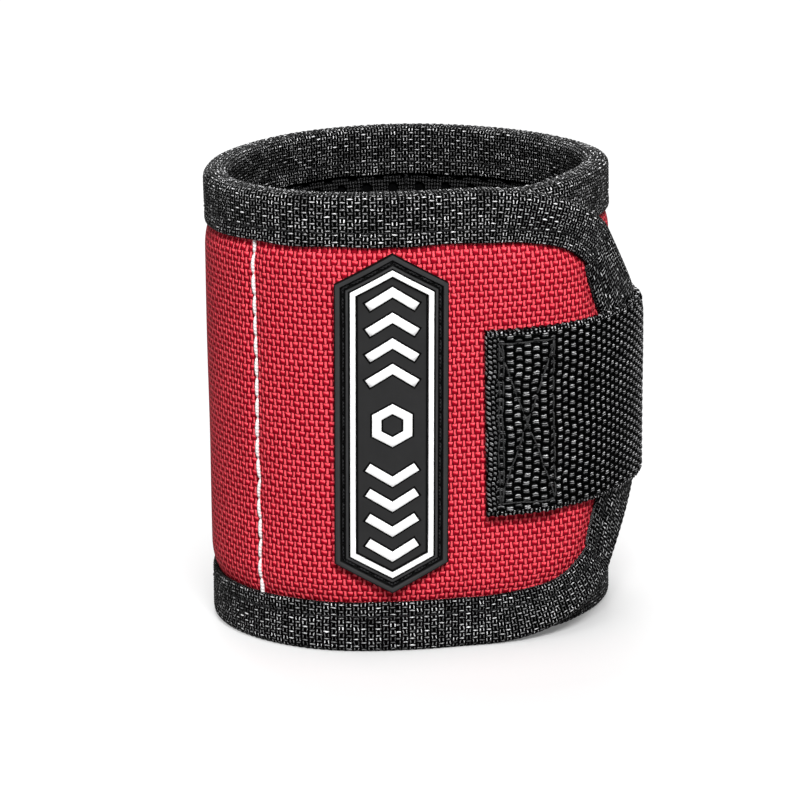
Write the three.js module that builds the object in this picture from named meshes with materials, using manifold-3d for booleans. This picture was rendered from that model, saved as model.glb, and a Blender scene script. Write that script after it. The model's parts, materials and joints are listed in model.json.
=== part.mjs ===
// Padded magnetic wristband, wound up as it is stored: a flat band rolled into a ring whose
// tapered outer end overlaps the square inner end and is held by a webbing strap.
// Millimetres, +Z up. The band stands on one bound edge and the badge faces -Y.
import * as THREE from 'three';
import { mergeVertices } from 'three/addons/utils/BufferGeometryUtils.js';
import Module from 'manifold-3d';

const wasm = await Module();
wasm.setup();

const degree = Math.PI / 180;
const fullTurn = 360;
const quarterTurn = fullTurn / 4;
const halfTurn = fullTurn / 2;

// The band laid flat
const bandLength = 304;
const bandHeight = 94;
const bandThickness = 5.2;
const pieceGap = 0.3;
const cutOverrun = 2;
const lengthStep = 5.2;

// The ring it is rolled into. The plan is slightly out of round: its radius as shares of the
// mean one, every 30 degrees from the back, round by the left side and the front.
const ringRadius = 38.7;
const planShares = [1.021, 0.982, 0.943, 0.974, 1.059, 1.054, 0.969, 0.953, 0.979, 1.036, 1.013, 1.005];
const planFirstAngle = -180;
const outerTipAngle = 94;
const windingTurns = 1.5;
const overlapGap = 0.4;
const overlapFirstAngle = 12;
const overlapLastAngle = 57;
const innerEndDrop = 2.2;

// Distances along the band, from the outer tip
const outerHingeAt = 57.4;
const badgeAt = 71.4;
const firstSeamAt = 99.3;
const pocketPitch = 31;
const pocketCount = 5;
const innerHingeAt = firstSeamAt + pocketPitch * pocketCount;

// Outline of the two ends
const taperLength = 54;
const browRadius = 52;
const browTurn = 34;
const shoulderRadius = 12;
const shoulderTurn = 18;
const tipFlatHalf = 9.5;
const tipCornerRadius = 11;
const tipCornerTurn = 55;
const innerCornerRadius = 11;
const browSteps = 6;
const shoulderSteps = 2;
const flankSteps = 6;
const cornerSteps = 5;
const innerCornerSteps = 6;

// Binding tape, folded over the edge
const bindingDepth = 10.4;
const flankExtraDepth = 4.2;
const flankExtraFrom = 1;
const flankExtraTo = 23;
const tapeThickness = 0.9;
const crestHalf = 1.2;
const crestRise = 1.5;
const straightSideSteps = 1;
const gatheredSideSteps = 3;

// Layers between the binding's two sides: each is pressed thin under the tape and full beyond it
const puffLength = 5;
const shellThickness = 0.6;
const liningThickness = 0.6;
const airMeshThickness = 0.8;
const padEdgeHalf = 0.5;
const padOuterRise = 1.7;
const padInnerRise = 1.3;
const seamDip = 0.5;
const seamReach = 2.4;

// Magnets and their pockets in the pad
const magnetDiameter = 12;
const magnetThickness = 1.5;
const magnetRows = 3;
const magnetInset = 12.6;
const magnetRowPitch = (bandHeight - 2 * (bindingDepth + magnetInset)) / (magnetRows - 1);
const magnetFaces = 20;
const pocketFloor = -0.8;

// Webbing strap with its folded end, and the hook and loop tapes
const strapWidth = 38;
const strapThickness = 1.3;
const strapSewnLength = 54;
const strapFoldLength = 12;
const strapFoldRamp = 6;
const strapTongueLength = 56;
const strapLandingAngle = 16;
const strapEdgeRound = 0.5;
const edgeRiseShare = 1 / 3;
const fastenerWidth = 36;
const hookThickness = 1;
const hookEndMargin = 2;
const loopThickness = 1;
const loopFirstAngle = 108;
const loopLastAngle = 196;

// Rubber badge, an elongated hexagon with a sewing groove and a raised border
const badgeWidth = 20.8;
const badgeEdgeGap = 1.7;
const badgePeakRise = 6.15;
const badgeHeight = bandHeight - 2 * (bindingDepth + badgeEdgeGap);
const badgeSideHeight = badgeHeight - 2 * badgePeakRise;
const badgeRaise = 0.75;
const badgeThickness = 1.5;
const badgeRim = 1.1;
const badgeGrooveWidth = 1;
const badgeGrooveDepth = 0.5;
const badgeInnerRim = 0.7;
const badgeFieldDrop = 0.5;
const borderWidth = 0.95;
const borderHeight = 0.5;
const badgeAcrossShares = [-1, -0.5, 0, 0.5, 1];
const borderInset = badgeRim + badgeGrooveWidth + badgeInnerRim + pieceGap;

const middle = bandHeight / 2;
const trackStepsPerDegree = 2;
const slopeProbe = 1;
const layerMargin = crestRise + tapeThickness / 2 + pieceGap;

function smooth(from, to, value) {
  return THREE.MathUtils.smoothstep(value, from, to);
}

// Radius of the closed ring at an angle in degrees, zero at the front and +90 on the right
function ringRadiusAt(angle) {
  const count = planShares.length;
  const place = ((angle - planFirstAngle) / fullTurn) * count;
  const index = Math.floor(place);
  const [before, from, to, after] = [-1, 0, 1, 2].map(
    (shift) => planShares[(((index + shift) % count) + count) % count],
  );
  const t = place - index;
  const slopeFrom = (to - before) / 2;
  const slopeTo = (after - from) / 2;
  const share =
    (2 * t ** 3 - 3 * t ** 2 + 1) * from +
    (t ** 3 - 2 * t ** 2 + t) * slopeFrom +
    (3 * t ** 2 - 2 * t ** 3) * to +
    (t ** 3 - t ** 2) * slopeTo;
  return ringRadius * share;
}

// Middle of the band's thickness. Where the ends overlap, the inner one is pressed inwards and
// the outer one lies over it.
function bandRadiusAt(angle) {
  const step = bandThickness + overlapGap;
  const base = ringRadiusAt(angle);
  if (angle > overlapFirstAngle) {
    return base + step * smooth(overlapFirstAngle, overlapLastAngle, angle);
  }
  const under = 1 - smooth(overlapFirstAngle, overlapLastAngle, angle + fullTurn);
  return angle < overlapLastAngle - fullTurn ? base - step * under : base;
}

// Radius of the curve that lies a given way outside another one
function offsetRadius(radiusAt, angle, offset) {
  const radius = radiusAt(angle);
  const rise = radiusAt(angle + slopeProbe) - radiusAt(angle - slopeProbe);
  const slope = rise / (2 * slopeProbe * degree * radius);
  return radius + offset * Math.hypot(1, slope);
}

// The strap lies on the outer end, drops off its tip and lands on the loop tape
function strapRadiusAt(angle) {
  const onFace = (bandThickness + strapThickness) / 2 + pieceGap;
  const onBand = offsetRadius(bandRadiusAt, angle, onFace);
  const fasteners = loopThickness + hookThickness + 2 * pieceGap;
  const onLoop = offsetRadius(ringRadiusAt, angle, onFace + fasteners);
  const landed = smooth(outerTipAngle, outerTipAngle + strapLandingAngle, angle);
  return THREE.MathUtils.lerp(onBand, onLoop, landed);
}

// A path in plan that is walked by its length. Normals point out of the ring.
function makeTrack(radiusAt, firstAngle, lastAngle) {
  const steps = Math.ceil(Math.abs(lastAngle - firstAngle) * trackStepsPerDegree);
  const points = [];
  const angles = [];
  const lengths = [0];
  for (let i = 0; i <= steps; i += 1) {
    const angle = THREE.MathUtils.lerp(firstAngle, lastAngle, i / steps);
    const radius = radiusAt(angle);
    points.push(new THREE.Vector2(radius * Math.sin(angle * degree), -radius * Math.cos(angle * degree)));
    angles.push(angle);
    if (i > 0) lengths.push(lengths[i - 1] + points[i].distanceTo(points[i - 1]));
  }
  const side = Math.sign(lastAngle - firstAngle);
  function locate(distance) {
    let i = 1;
    while (i < steps && lengths[i] < distance) i += 1;
    return { i, t: (distance - lengths[i - 1]) / (lengths[i] - lengths[i - 1]) };
  }
  function tangent(i) {
    const next = points[Math.min(i + 1, steps)];
    return next.clone().sub(points[Math.max(i - 1, 0)]).normalize();
  }
  return {
    at(distance) {
      const { i, t } = locate(distance);
      const point = points[i - 1].clone().lerp(points[i], t);
      const along = tangent(i - 1).lerp(tangent(i), t).normalize().multiplyScalar(side);
      return { point, out: new THREE.Vector2(along.y, -along.x), along };
    },
    angleAt(distance) {
      const { i, t } = locate(distance);
      return THREE.MathUtils.lerp(angles[i - 1], angles[i], t);
    },
    distanceAt(angle) {
      let i = 1;
      while (i < steps && (angles[i] - angle) * side < 0) i += 1;
      const t = (angle - angles[i - 1]) / (angles[i] - angles[i - 1]);
      return THREE.MathUtils.lerp(lengths[i - 1], lengths[i], t);
    },
    place(distance, offset, height) {
      const { point, out } = this.at(distance);
      return new THREE.Vector3(point.x + out.x * offset, point.y + out.y * offset, height);
    },
  };
}

const band = makeTrack(bandRadiusAt, outerTipAngle, outerTipAngle - windingTurns * fullTurn);
const strapFirstAngle = band.angleAt(strapSewnLength);
const strap = makeTrack(strapRadiusAt, strapFirstAngle, strapFirstAngle + halfTurn);
const strapTipAt = strap.distanceAt(outerTipAngle);

// The inner end is cut a little lower at its top towards its tip
function placeOnBand(distance, offset, height) {
  const drop = innerEndDrop * smooth(innerHingeAt, bandLength, distance);
  return band.place(distance, offset, height * (1 - drop / bandHeight));
}

// Geometry helpers
function closedGeometry(points, faces) {
  const geometry = new THREE.BufferGeometry();
  const places = points.flatMap((point) => point.toArray());
  geometry.setAttribute('position', new THREE.Float32BufferAttribute(places, 3));
  let volume = 0;
  for (const [a, b, c] of faces) {
    volume += points[a].dot(points[b].clone().cross(points[c]));
  }
  const outward = volume < 0 ? faces.map(([a, b, c]) => [a, c, b]) : faces;
  geometry.setIndex(outward.flat());
  return geometry;
}

// Joins two rings of points. From a turning point on, the squares are split the other way, so
// that both faces of a layer have the same folds.
function ringFaces(first, second, count, turningPoint = count) {
  const faces = [];
  for (let j = 0; j < count; j += 1) {
    const next = (j + 1) % count;
    const [a, b, c, d] = [first + j, second + j, second + next, first + next];
    faces.push(...(j < turningPoint ? [[a, b, c], [a, c, d]] : [[a, b, d], [b, c, d]]));
  }
  return faces;
}

// Lofts a closed section from station to station and caps both ends
function loft(stations, turningPoint) {
  const count = stations[0].points.length;
  const points = stations.flatMap((station) => station.points);
  const faces = [];
  for (let i = 0; i + 1 < stations.length; i += 1) {
    faces.push(...ringFaces(i * count, (i + 1) * count, count, turningPoint));
  }
  const last = (stations.length - 1) * count;
  faces.push(...capFaces(stations[0].section, 0));
  faces.push(...capFaces(stations.at(-1).section, last).map(([a, b, c]) => [a, c, b]));
  return closedGeometry(points, faces);
}

// Triangles that fill a section, turned the same way as its outline
function capFaces(section, first) {
  const turn = Math.sign(THREE.ShapeUtils.area(section));
  return THREE.ShapeUtils.triangulateShape(section, []).map(([a, b, c]) => {
    const isSame = Math.sign(THREE.ShapeUtils.area([section[a], section[b], section[c]])) === turn;
    return (isSame ? [a, b, c] : [a, c, b]).map((index) => first + index);
  });
}

function toManifold(geometry) {
  const bare = geometry.clone();
  bare.deleteAttribute('normal');
  bare.deleteAttribute('uv');
  const merged = mergeVertices(bare);
  const vertProperties = new Float32Array(merged.attributes.position.array);
  const triVerts = new Uint32Array(merged.index.array);
  return new wasm.Manifold(new wasm.Mesh({ numProp: 3, vertProperties, triVerts }));
}

function fromManifold(solid) {
  const { vertProperties, triVerts } = solid.getMesh();
  const geometry = new THREE.BufferGeometry();
  geometry.setAttribute('position', new THREE.BufferAttribute(vertProperties, 3));
  geometry.setIndex(new THREE.BufferAttribute(triVerts, 1));
  return geometry;
}

// Outlines. Each end is a list of points from its full height to the middle of its tip: x is the
// distance from that tip and y the height over the band's middle line.
function arcPoints(centre, radius, fromDegrees, toDegrees, count) {
  return Array.from({ length: count + 1 }, (_, i) => {
    const angle = THREE.MathUtils.lerp(fromDegrees, toDegrees, i / count) * degree;
    return new THREE.Vector2(centre.x + radius * Math.cos(angle), centre.y + radius * Math.sin(angle));
  });
}

function outerEndOutline() {
  const flankTurn = browTurn + shoulderTurn;
  const browCentre = new THREE.Vector2(taperLength, middle - browRadius);
  const brow = arcPoints(browCentre, browRadius, quarterTurn, quarterTurn + browTurn, browSteps);
  const browOut = new THREE.Vector2(-Math.sin(browTurn * degree), Math.cos(browTurn * degree));
  const shoulderCentre = brow.at(-1).clone().addScaledVector(browOut, -shoulderRadius);
  const [shoulderFrom, shoulderTo] = [quarterTurn + browTurn, quarterTurn + flankTurn];
  const shoulder = arcPoints(shoulderCentre, shoulderRadius, shoulderFrom, shoulderTo, shoulderSteps);
  const tipCentre = new THREE.Vector2(tipCornerRadius, tipFlatHalf);
  const cornerFrom = halfTurn - tipCornerTurn;
  const corner = arcPoints(tipCentre, tipCornerRadius, cornerFrom, halfTurn, cornerSteps);
  const [top, foot] = [shoulder.at(-1), corner[0]];
  const topWay = new THREE.Vector2(-Math.cos(flankTurn * degree), -Math.sin(flankTurn * degree));
  const footTurn = (quarterTurn - tipCornerTurn) * degree;
  const footWay = new THREE.Vector2(Math.cos(footTurn), Math.sin(footTurn));
  const reach = foot.clone().sub(top).cross(footWay) / topWay.cross(footWay);
  const knee = top.clone().addScaledVector(topWay, reach);
  const flank = new THREE.QuadraticBezierCurve(top, knee, foot).getPoints(flankSteps);
  return [...brow, ...shoulder.slice(1), ...flank.slice(1), ...corner.slice(1), new THREE.Vector2()];
}

function innerEndOutline() {
  const centre = new THREE.Vector2(innerCornerRadius, middle - innerCornerRadius);
  const corner = arcPoints(centre, innerCornerRadius, quarterTurn, halfTurn, innerCornerSteps);
  return [...corner, new THREE.Vector2()];
}

// The tape is gathered on the slanting flanks of the outer end and covers more there
function flankExtraAt(distance) {
  const along = (distance - flankExtraFrom) / (flankExtraTo - flankExtraFrom);
  return flankExtraDepth * Math.sin(Math.PI * THREE.MathUtils.clamp(along, 0, 1));
}

// Both halves of an end's outline, from the top round the tip to the bottom, with the way inwards
function wholeOutline(half, start, extraAt) {
  const upper = [new THREE.Vector2(start, middle), ...half.slice(0, -1)];
  const whole = [...upper, ...upper.map((p) => new THREE.Vector2(p.x, -p.y)).reverse()];
  return whole.map((point, i) => {
    const before = whole[Math.max(i - 1, 0)];
    const after = whole[Math.min(i + 1, whole.length - 1)];
    const back = point.clone().sub(before).normalize();
    const on = after.clone().sub(point).normalize();
    const way = back.add(on).normalize();
    const inward = new THREE.Vector2(-way.y, way.x);
    const edgeEnd = i === 0 || i === whole.length - 1;
    const square = new THREE.Vector2(0, -Math.sign(point.y));
    return { point, inward: edgeEnd ? square : inward, extra: extraAt(point.x) };
  });
}

// Half height at a distance from the tip, of an outline that is drawn in by some depth
function halfHeightAt(outline, depth, distance) {
  const drawnIn = outline
    .slice(0, outline.length / 2)
    .map(({ point, inward, extra }) => point.clone().addScaledVector(inward, depthWith(extra, depth)));
  if (distance >= drawnIn[0].x) return middle - depth;
  for (let i = 1; i < drawnIn.length; i += 1) {
    const [from, to] = [drawnIn[i - 1], drawnIn[i]];
    if (distance <= from.x && distance >= to.x) {
      const t = from.x === to.x ? 1 : (from.x - distance) / (from.x - to.x);
      return THREE.MathUtils.lerp(from.y, to.y, t);
    }
  }
  return 0;
}

// A depth past the tape's usual edge moves in with the gathered tape
function depthWith(extra, depth) {
  return depth < bindingDepth ? depth : depth + extra;
}

// How far a place lies inside an end's outline, less what the gathered tape takes of it
function depthInside(outline, x, y) {
  const point = new THREE.Vector2(x, Math.abs(y));
  let least = middle - point.y;
  for (let i = 1; i < outline.length; i += 1) {
    const [from, to] = [outline[i - 1], outline[i]];
    const edge = to.point.clone().sub(from.point);
    const along = point.clone().sub(from.point).dot(edge) / edge.lengthSq();
    const t = THREE.MathUtils.clamp(along, 0, 1);
    const depth = from.point.clone().addScaledVector(edge, t).distanceTo(point);
    least = Math.min(least, depth - THREE.MathUtils.lerp(from.extra, to.extra, t));
  }
  return least;
}

// The four lengths of the band between its hinge lines. fromTip turns a distance along the band
// into one from the tip of that end, where the length has one.
const outerOutline = wholeOutline(outerEndOutline(), outerHingeAt, flankExtraAt);
const innerOutline = wholeOutline(innerEndOutline(), bandLength - innerHingeAt, () => 0);
const lengths = {
  outer_end: { from: 0, to: outerHingeAt, outline: outerOutline, fromTip: (d) => d },
  front_panel: { from: outerHingeAt, to: firstSeamAt },
  magnet_zone: { from: firstSeamAt, to: innerHingeAt },
  inner_end: { from: innerHingeAt, to: bandLength, outline: innerOutline, fromTip: (d) => bandLength - d },
};

const seams = Array.from({ length: pocketCount + 1 }, (_, i) => firstSeamAt + i * pocketPitch);

function depthAt(length, distance, height) {
  if (!length.outline) return middle - Math.abs(height);
  return depthInside(length.outline, length.fromTip(distance), height);
}

// How full the pad is at a place: nothing under the tape, all of it in the open, less at a seam
function fullnessAt(length, distance, height) {
  const first = bindingDepth + pieceGap;
  const depth = depthAt(length, distance, height);
  const open = THREE.MathUtils.clamp((depth - first) / puffLength, 0, 1);
  const nearest = Math.min(...seams.map((seam) => Math.abs(seam - distance)));
  const dip = (seamDip * Math.max(0, 1 - nearest / seamReach)) / (padOuterRise - padEdgeHalf);
  return Math.max(0, Math.sin((open * Math.PI) / 2) - dip);
}

// Distances at which a length's layers are cut into stations
function stationsOf(length) {
  const half = pieceGap / 2;
  const first = length.from + (length.from === 0 ? layerMargin : half);
  const last = length.to - (length.to === bandLength ? layerMargin : half);
  const marks = [first, last];
  const tipStepShares = [0.1, 0.25, 0.5, 0.8, 1.1];
  const tipSteps = tipStepShares.map((share) => share * bindingDepth);
  if (length.outline) {
    for (const step of tipSteps) marks.push(length.from === 0 ? first + step : last - step);
  }
  for (const seam of seams) marks.push(seam - seamReach, seam, seam + seamReach);
  const inside = marks.filter((mark) => mark >= first && mark <= last).sort((a, b) => a - b);
  const stations = [inside[0]];
  for (const mark of inside.slice(1)) {
    const span = mark - stations.at(-1);
    if (span < pieceGap) continue;
    const parts = Math.max(1, Math.round(span / lengthStep));
    const from = stations.at(-1);
    for (let i = 1; i <= parts; i += 1) stations.push(from + (span * i) / parts);
  }
  return stations;
}

// One fabric or foam layer of a length: a sheet between two faces, each given at the pressed
// edge and at full puff
function layerGeometry(length, outer, inner) {
  const rowDepths = [layerMargin, bindingDepth + pieceGap, bindingDepth + pieceGap + puffLength];
  const leastShares = [1, 0.35, 0.15];
  const stations = stationsOf(length).map((distance) => {
    const rows = rowDepths.map((depth) => {
      if (!length.outline) return middle - depth;
      return halfHeightAt(length.outline, depth, length.fromTip(distance));
    });
    const upper = rows.map((row, i) => Math.max(row, rows[0] * leastShares[i]));
    const heights = [...upper, 0, ...upper.toReversed().map((row) => -row)];
    const face = ({ edge, full }) =>
      heights.map((height) => {
        const offset = THREE.MathUtils.lerp(edge, full, fullnessAt(length, distance, height));
        return new THREE.Vector2(offset, height + middle);
      });
    const section = [...face(outer), ...face(inner).reverse()];
    return { section, points: section.map((p) => placeOnBand(distance, p.x, p.y)) };
  });
  return loft(stations, stations[0].points.length / 2);
}

const padOuter = { edge: padEdgeHalf, full: padOuterRise };
const padInner = { edge: -padEdgeHalf, full: -padInnerRise };

function shellGeometry(length) {
  const inner = { edge: padOuter.edge + pieceGap, full: padOuter.full + pieceGap };
  const outer = { edge: inner.edge + shellThickness, full: inner.full + shellThickness };
  return layerGeometry(length, outer, inner);
}

function liningGeometry(length) {
  const outer = { edge: padInner.edge - pieceGap, full: padInner.full - pieceGap };
  const inner = { edge: outer.edge - liningThickness, full: outer.full - airMeshThickness };
  return layerGeometry(length, outer, inner);
}

// Places of the magnets: columns between the seams, rows up the height
function magnetPlaces() {
  const places = [];
  for (let column = 0; column < pocketCount; column += 1) {
    for (let row = 0; row < magnetRows; row += 1) {
      const distance = firstSeamAt + (column + 0.5) * pocketPitch;
      const height = middle + (row - (magnetRows - 1) / 2) * magnetRowPitch;
      places.push({ column, row, distance, height });
    }
  }
  return places;
}

// A disc's group stands on the band: its Y axis points out of the ring
function standOnBand(object, distance, offset, height) {
  const { out } = band.at(distance);
  object.position.copy(band.place(distance, offset, height));
  object.quaternion.setFromUnitVectors(new THREE.Vector3(0, 1, 0), new THREE.Vector3(out.x, out.y, 0));
  object.updateMatrixWorld(true);
  return object;
}

function padGeometry(length, hasPockets) {
  const pad = layerGeometry(length, padOuter, padInner);
  if (!hasPockets) return pad;
  let solid = toManifold(pad);
  const depth = padOuterRise - pocketFloor + cutOverrun;
  const pocketRadius = magnetDiameter / 2 + pieceGap;
  const cutter = new THREE.CylinderGeometry(pocketRadius, pocketRadius, depth, magnetFaces);
  for (const { distance, height } of magnetPlaces()) {
    const tool = standOnBand(new THREE.Mesh(cutter), distance, pocketFloor + depth / 2, height);
    solid = solid.subtract(toManifold(cutter.clone().applyMatrix4(tool.matrixWorld)));
  }
  return fromManifold(solid);
}

// Folded tape in section: x runs through the thickness, y from the edge into the band
function tapeSection(sideSteps) {
  const outside = bandThickness / 2;
  const inside = outside - tapeThickness;
  const innerCrest = crestHalf - tapeThickness / 2;
  const side = Array.from({ length: sideSteps }, (_, i) => (i + 1) / sideSteps);
  const innerRise = crestRise + tapeThickness / 2;
  const right = [
    [crestHalf, 0],
    [outside, crestRise],
    ...side.map((t) => [outside, THREE.MathUtils.lerp(crestRise, bindingDepth, t)]),
    ...side.toReversed().map((t) => [inside, THREE.MathUtils.lerp(innerRise, bindingDepth, t)]),
    [inside, innerRise],
    [innerCrest, tapeThickness],
  ].map(([x, y]) => new THREE.Vector2(x, y));
  return [...right, ...right.toReversed().map((p) => new THREE.Vector2(-p.x, p.y))];
}

// Tape along the straight top or bottom edge of a length
function straightBinding(length, isTop) {
  const section = tapeSection(straightSideSteps);
  const [first, last] = [length.from + pieceGap / 2, length.to - pieceGap / 2];
  const parts = Math.round((last - first) / lengthStep);
  const stations = Array.from({ length: parts + 1 }, (_, i) => {
    const distance = THREE.MathUtils.lerp(first, last, i / parts);
    const height = (depth) => (isTop ? bandHeight - depth : depth);
    return { section, points: section.map((p) => placeOnBand(distance, p.x, height(p.y))) };
  });
  return loft(stations);
}

// Tape that runs from the top edge round an end's tip to the bottom edge in one piece
function endBinding(length) {
  const section = tapeSection(gatheredSideSteps);
  const stations = [];
  const add = (point, inward, extra) => {
    const points = section.map((p) => {
      const gathered = extra * smooth(crestRise, bindingDepth, p.y);
      const place = point.clone().addScaledVector(inward, p.y + gathered);
      return placeOnBand(length.fromTip(place.x), p.x, middle + place.y);
    });
    stations.push({ section, points });
  };
  length.outline.forEach(({ point, inward, extra }, i) => {
    const before = length.outline[i - 1];
    if (before) {
      const parts = Math.round(before.point.distanceTo(point) / lengthStep);
      for (let j = 1; j < parts; j += 1) {
        const t = j / parts;
        const way = before.inward.clone().lerp(inward, t).normalize();
        add(before.point.clone().lerp(point, t), way, THREE.MathUtils.lerp(before.extra, extra, t));
      }
    }
    const isEnd = i === 0 || i === length.outline.length - 1;
    add(new THREE.Vector2(point.x - (isEnd ? pieceGap / 2 : 0), point.y), inward, extra);
  });
  return loft(stations);
}

// A flat tape on a track: faces are given as offsets at each distance
function tapeGeometry(track, distances, width, outerAt, innerAt) {
  const round = Math.min(strapEdgeRound, width / 2);
  const [low, high] = [middle - width / 2, middle + width / 2];
  const stations = distances.map((distance) => {
    const [outer, inner] = [outerAt(distance), innerAt(distance)];
    const rise = Math.min(round, (outer - inner) * edgeRiseShare);
    const section = [
      [outer, low + round], [outer, high - round], [outer - rise, high], [inner + rise, high],
      [inner, high - round], [inner, low + round], [inner + rise, low], [outer - rise, low],
    ].map(([x, y]) => new THREE.Vector2(x, y));
    return { section, points: section.map((p) => track.place(distance, p.x, p.y)) };
  });
  return loft(stations);
}

function evenDistances(from, to) {
  const parts = Math.max(2, Math.round((to - from) / lengthStep));
  return Array.from({ length: parts + 1 }, (_, i) => THREE.MathUtils.lerp(from, to, i / parts));
}

// The sewn part of the strap: its end is folded under, so it is double there
function strapSewnGeometry() {
  const foldEnd = strapFoldLength + strapFoldRamp;
  const foldMarks = evenDistances(strapEdgeRound, strapFoldLength);
  const marks = [0, ...foldMarks, ...evenDistances(foldEnd, strapTipAt - pieceGap / 2)];
  const inner = -strapThickness / 2;
  const outerAt = (distance) => {
    const folded = 1 - smooth(strapFoldLength, foldEnd, distance);
    const rounded = distance === 0 ? strapEdgeRound : 0;
    return strapThickness / 2 + strapThickness * folded - rounded;
  };
  return tapeGeometry(strap, marks, strapWidth, outerAt, (d) => (d === 0 ? inner + strapEdgeRound : inner));
}

const tongueEndAt = strapTipAt + strapTongueLength;

function strapTongueGeometry() {
  const marks = evenDistances(strapTipAt + pieceGap / 2, tongueEndAt);
  return tapeGeometry(strap, marks, strapWidth, () => strapThickness / 2, () => -strapThickness / 2);
}

function hookGeometry() {
  const landed = strap.distanceAt(outerTipAngle + strapLandingAngle);
  const marks = evenDistances(landed, tongueEndAt - hookEndMargin);
  const outer = -strapThickness / 2 - pieceGap;
  return tapeGeometry(strap, marks, fastenerWidth, () => outer, () => outer - hookThickness);
}

function loopGeometry() {
  const ends = [loopLastAngle, loopFirstAngle].map((angle) => band.distanceAt(angle - fullTurn));
  const inner = bandThickness / 2 + pieceGap;
  const marks = evenDistances(Math.min(...ends), Math.max(...ends));
  return tapeGeometry(band, marks, fastenerWidth, () => inner + loopThickness, () => inner);
}

// Badge: rings of the hexagon, each drawn in by an inset, on the band's curve
function hexagonRing(inset) {
  const halfWidth = badgeWidth / 2;
  const peak = badgeHeight / 2;
  const corner = badgeSideHeight / 2;
  const slope = (peak - corner) / halfWidth;
  const drawIn = inset * Math.hypot(1, slope);
  const side = halfWidth - inset;
  const across = badgeAcrossShares.map((share) => share * side);
  const top = across.map((x) => new THREE.Vector2(x, peak - slope * Math.abs(x) - drawIn));
  return [...top, ...top.toReversed().map((p) => new THREE.Vector2(p.x, -p.y))];
}

function badgePoints(ring, offset) {
  const base = bandThickness / 2 + pieceGap;
  return ring.map((p) => band.place(badgeAt - p.x, base + offset, middle + badgeRaise + p.y));
}

function fillFaces(first, count, isFlipped) {
  const faces = [];
  for (let j = 0; j + 1 < count / 2; j += 1) {
    const [a, b, c, d] = [j, j + 1, count - 2 - j, count - 1 - j].map((k) => first + k);
    const quad = [[a, b, c], [a, c, d]];
    faces.push(...(isFlipped ? quad.map(([p, q, r]) => [p, r, q]) : quad));
  }
  return faces;
}

function badgeBaseGeometry() {
  const grooveFrom = badgeRim;
  const grooveTo = badgeRim + badgeGrooveWidth;
  const fieldFrom = grooveTo + badgeInnerRim;
  const steps = [
    [0, 0],
    [0, badgeThickness],
    [grooveFrom, badgeThickness],
    [grooveFrom + badgeGrooveWidth / 4, badgeThickness - badgeGrooveDepth],
    [grooveTo - badgeGrooveWidth / 4, badgeThickness - badgeGrooveDepth],
    [grooveTo, badgeThickness],
    [fieldFrom, badgeThickness],
    [fieldFrom + pieceGap / 2, badgeThickness - badgeFieldDrop],
  ];
  const rings = steps.map(([inset, offset]) => badgePoints(hexagonRing(inset), offset));
  const count = rings[0].length;
  const faces = [];
  for (let i = 0; i + 1 < rings.length; i += 1) faces.push(...ringFaces(i * count, (i + 1) * count, count));
  faces.push(...fillFaces(0, count, false), ...fillFaces((rings.length - 1) * count, count, true));
  return closedGeometry(rings.flat(), faces);
}

function badgeBorderGeometry() {
  const floor = badgeThickness - badgeFieldDrop + pieceGap;
  const steps = [
    [borderInset, floor],
    [borderInset, floor + borderHeight],
    [borderInset + borderWidth, floor + borderHeight],
    [borderInset + borderWidth, floor],
  ];
  const rings = steps.map(([inset, offset]) => badgePoints(hexagonRing(inset), offset));
  const count = rings[0].length;
  const faces = rings.flatMap((_, i) => ringFaces(i * count, ((i + 1) % rings.length) * count, count));
  return closedGeometry(rings.flat(), faces);
}

// Materials
function material(color, roughness, metalness = 0) {
  return new THREE.MeshStandardMaterial({ color, roughness, metalness });
}

const finish = {
  shell: () => material(0xc41f31, 0.72),
  pad: () => material(0x3b3b3d, 0.95),
  lining: () => material(0x101011, 0.9),
  binding: () => material(0x161617, 0.78),
  webbing: () => material(0x141415, 0.74),
  fastener: () => material(0x0e0e0f, 0.92),
  magnet: () => material(0xb9bcc0, 0.28, 1),
  rubber: () => material(0x2c2c2e, 0.6),
  border: () => material(0xf2f2f2, 0.55),
};

const wristband = new THREE.Group();

function addPiece(name, geometry, surface) {
  geometry.computeVertexNormals();
  const mesh = new THREE.Mesh(geometry, surface);
  mesh.name = name;
  wristband.add(mesh);
  return mesh;
}

for (const [place, length] of Object.entries(lengths)) {
  addPiece(`shell_${place}`, shellGeometry(length), finish.shell());
  addPiece(`pad_${place}`, padGeometry(length, place === 'magnet_zone'), finish.pad());
  addPiece(`lining_${place}`, liningGeometry(length), finish.lining());
  if (length.outline) {
    addPiece(`binding_${place}`, endBinding(length), finish.binding());
  } else {
    addPiece(`binding_top_${place}`, straightBinding(length, true), finish.binding());
    addPiece(`binding_bottom_${place}`, straightBinding(length, false), finish.binding());
  }
}

for (const { column, row, distance, height } of magnetPlaces()) {
  const radius = magnetDiameter / 2;
  const disc = new THREE.CylinderGeometry(radius, radius, magnetThickness, magnetFaces);
  const magnet = addPiece(`magnet_${column + 1}_${row + 1}`, disc, finish.magnet());
  standOnBand(magnet, distance, pocketFloor + pieceGap + magnetThickness / 2, height);
}

addPiece('strap_sewn', strapSewnGeometry(), finish.webbing());
addPiece('strap_tongue', strapTongueGeometry(), finish.webbing());
addPiece('hook_tape', hookGeometry(), finish.fastener());
addPiece('loop_tape', loopGeometry(), finish.fastener());
addPiece('badge_base', badgeBaseGeometry(), finish.rubber());
addPiece('badge_border', badgeBorderGeometry(), finish.border());

// The origin is under the middle of the wristband, on the plane it stands on
const bounds = new THREE.Box3().setFromObject(wristband);
const centre = bounds.getCenter(new THREE.Vector3());
wristband.position.set(-centre.x, -centre.y, -bounds.min.z);
wristband.updateMatrixWorld(true);

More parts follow.
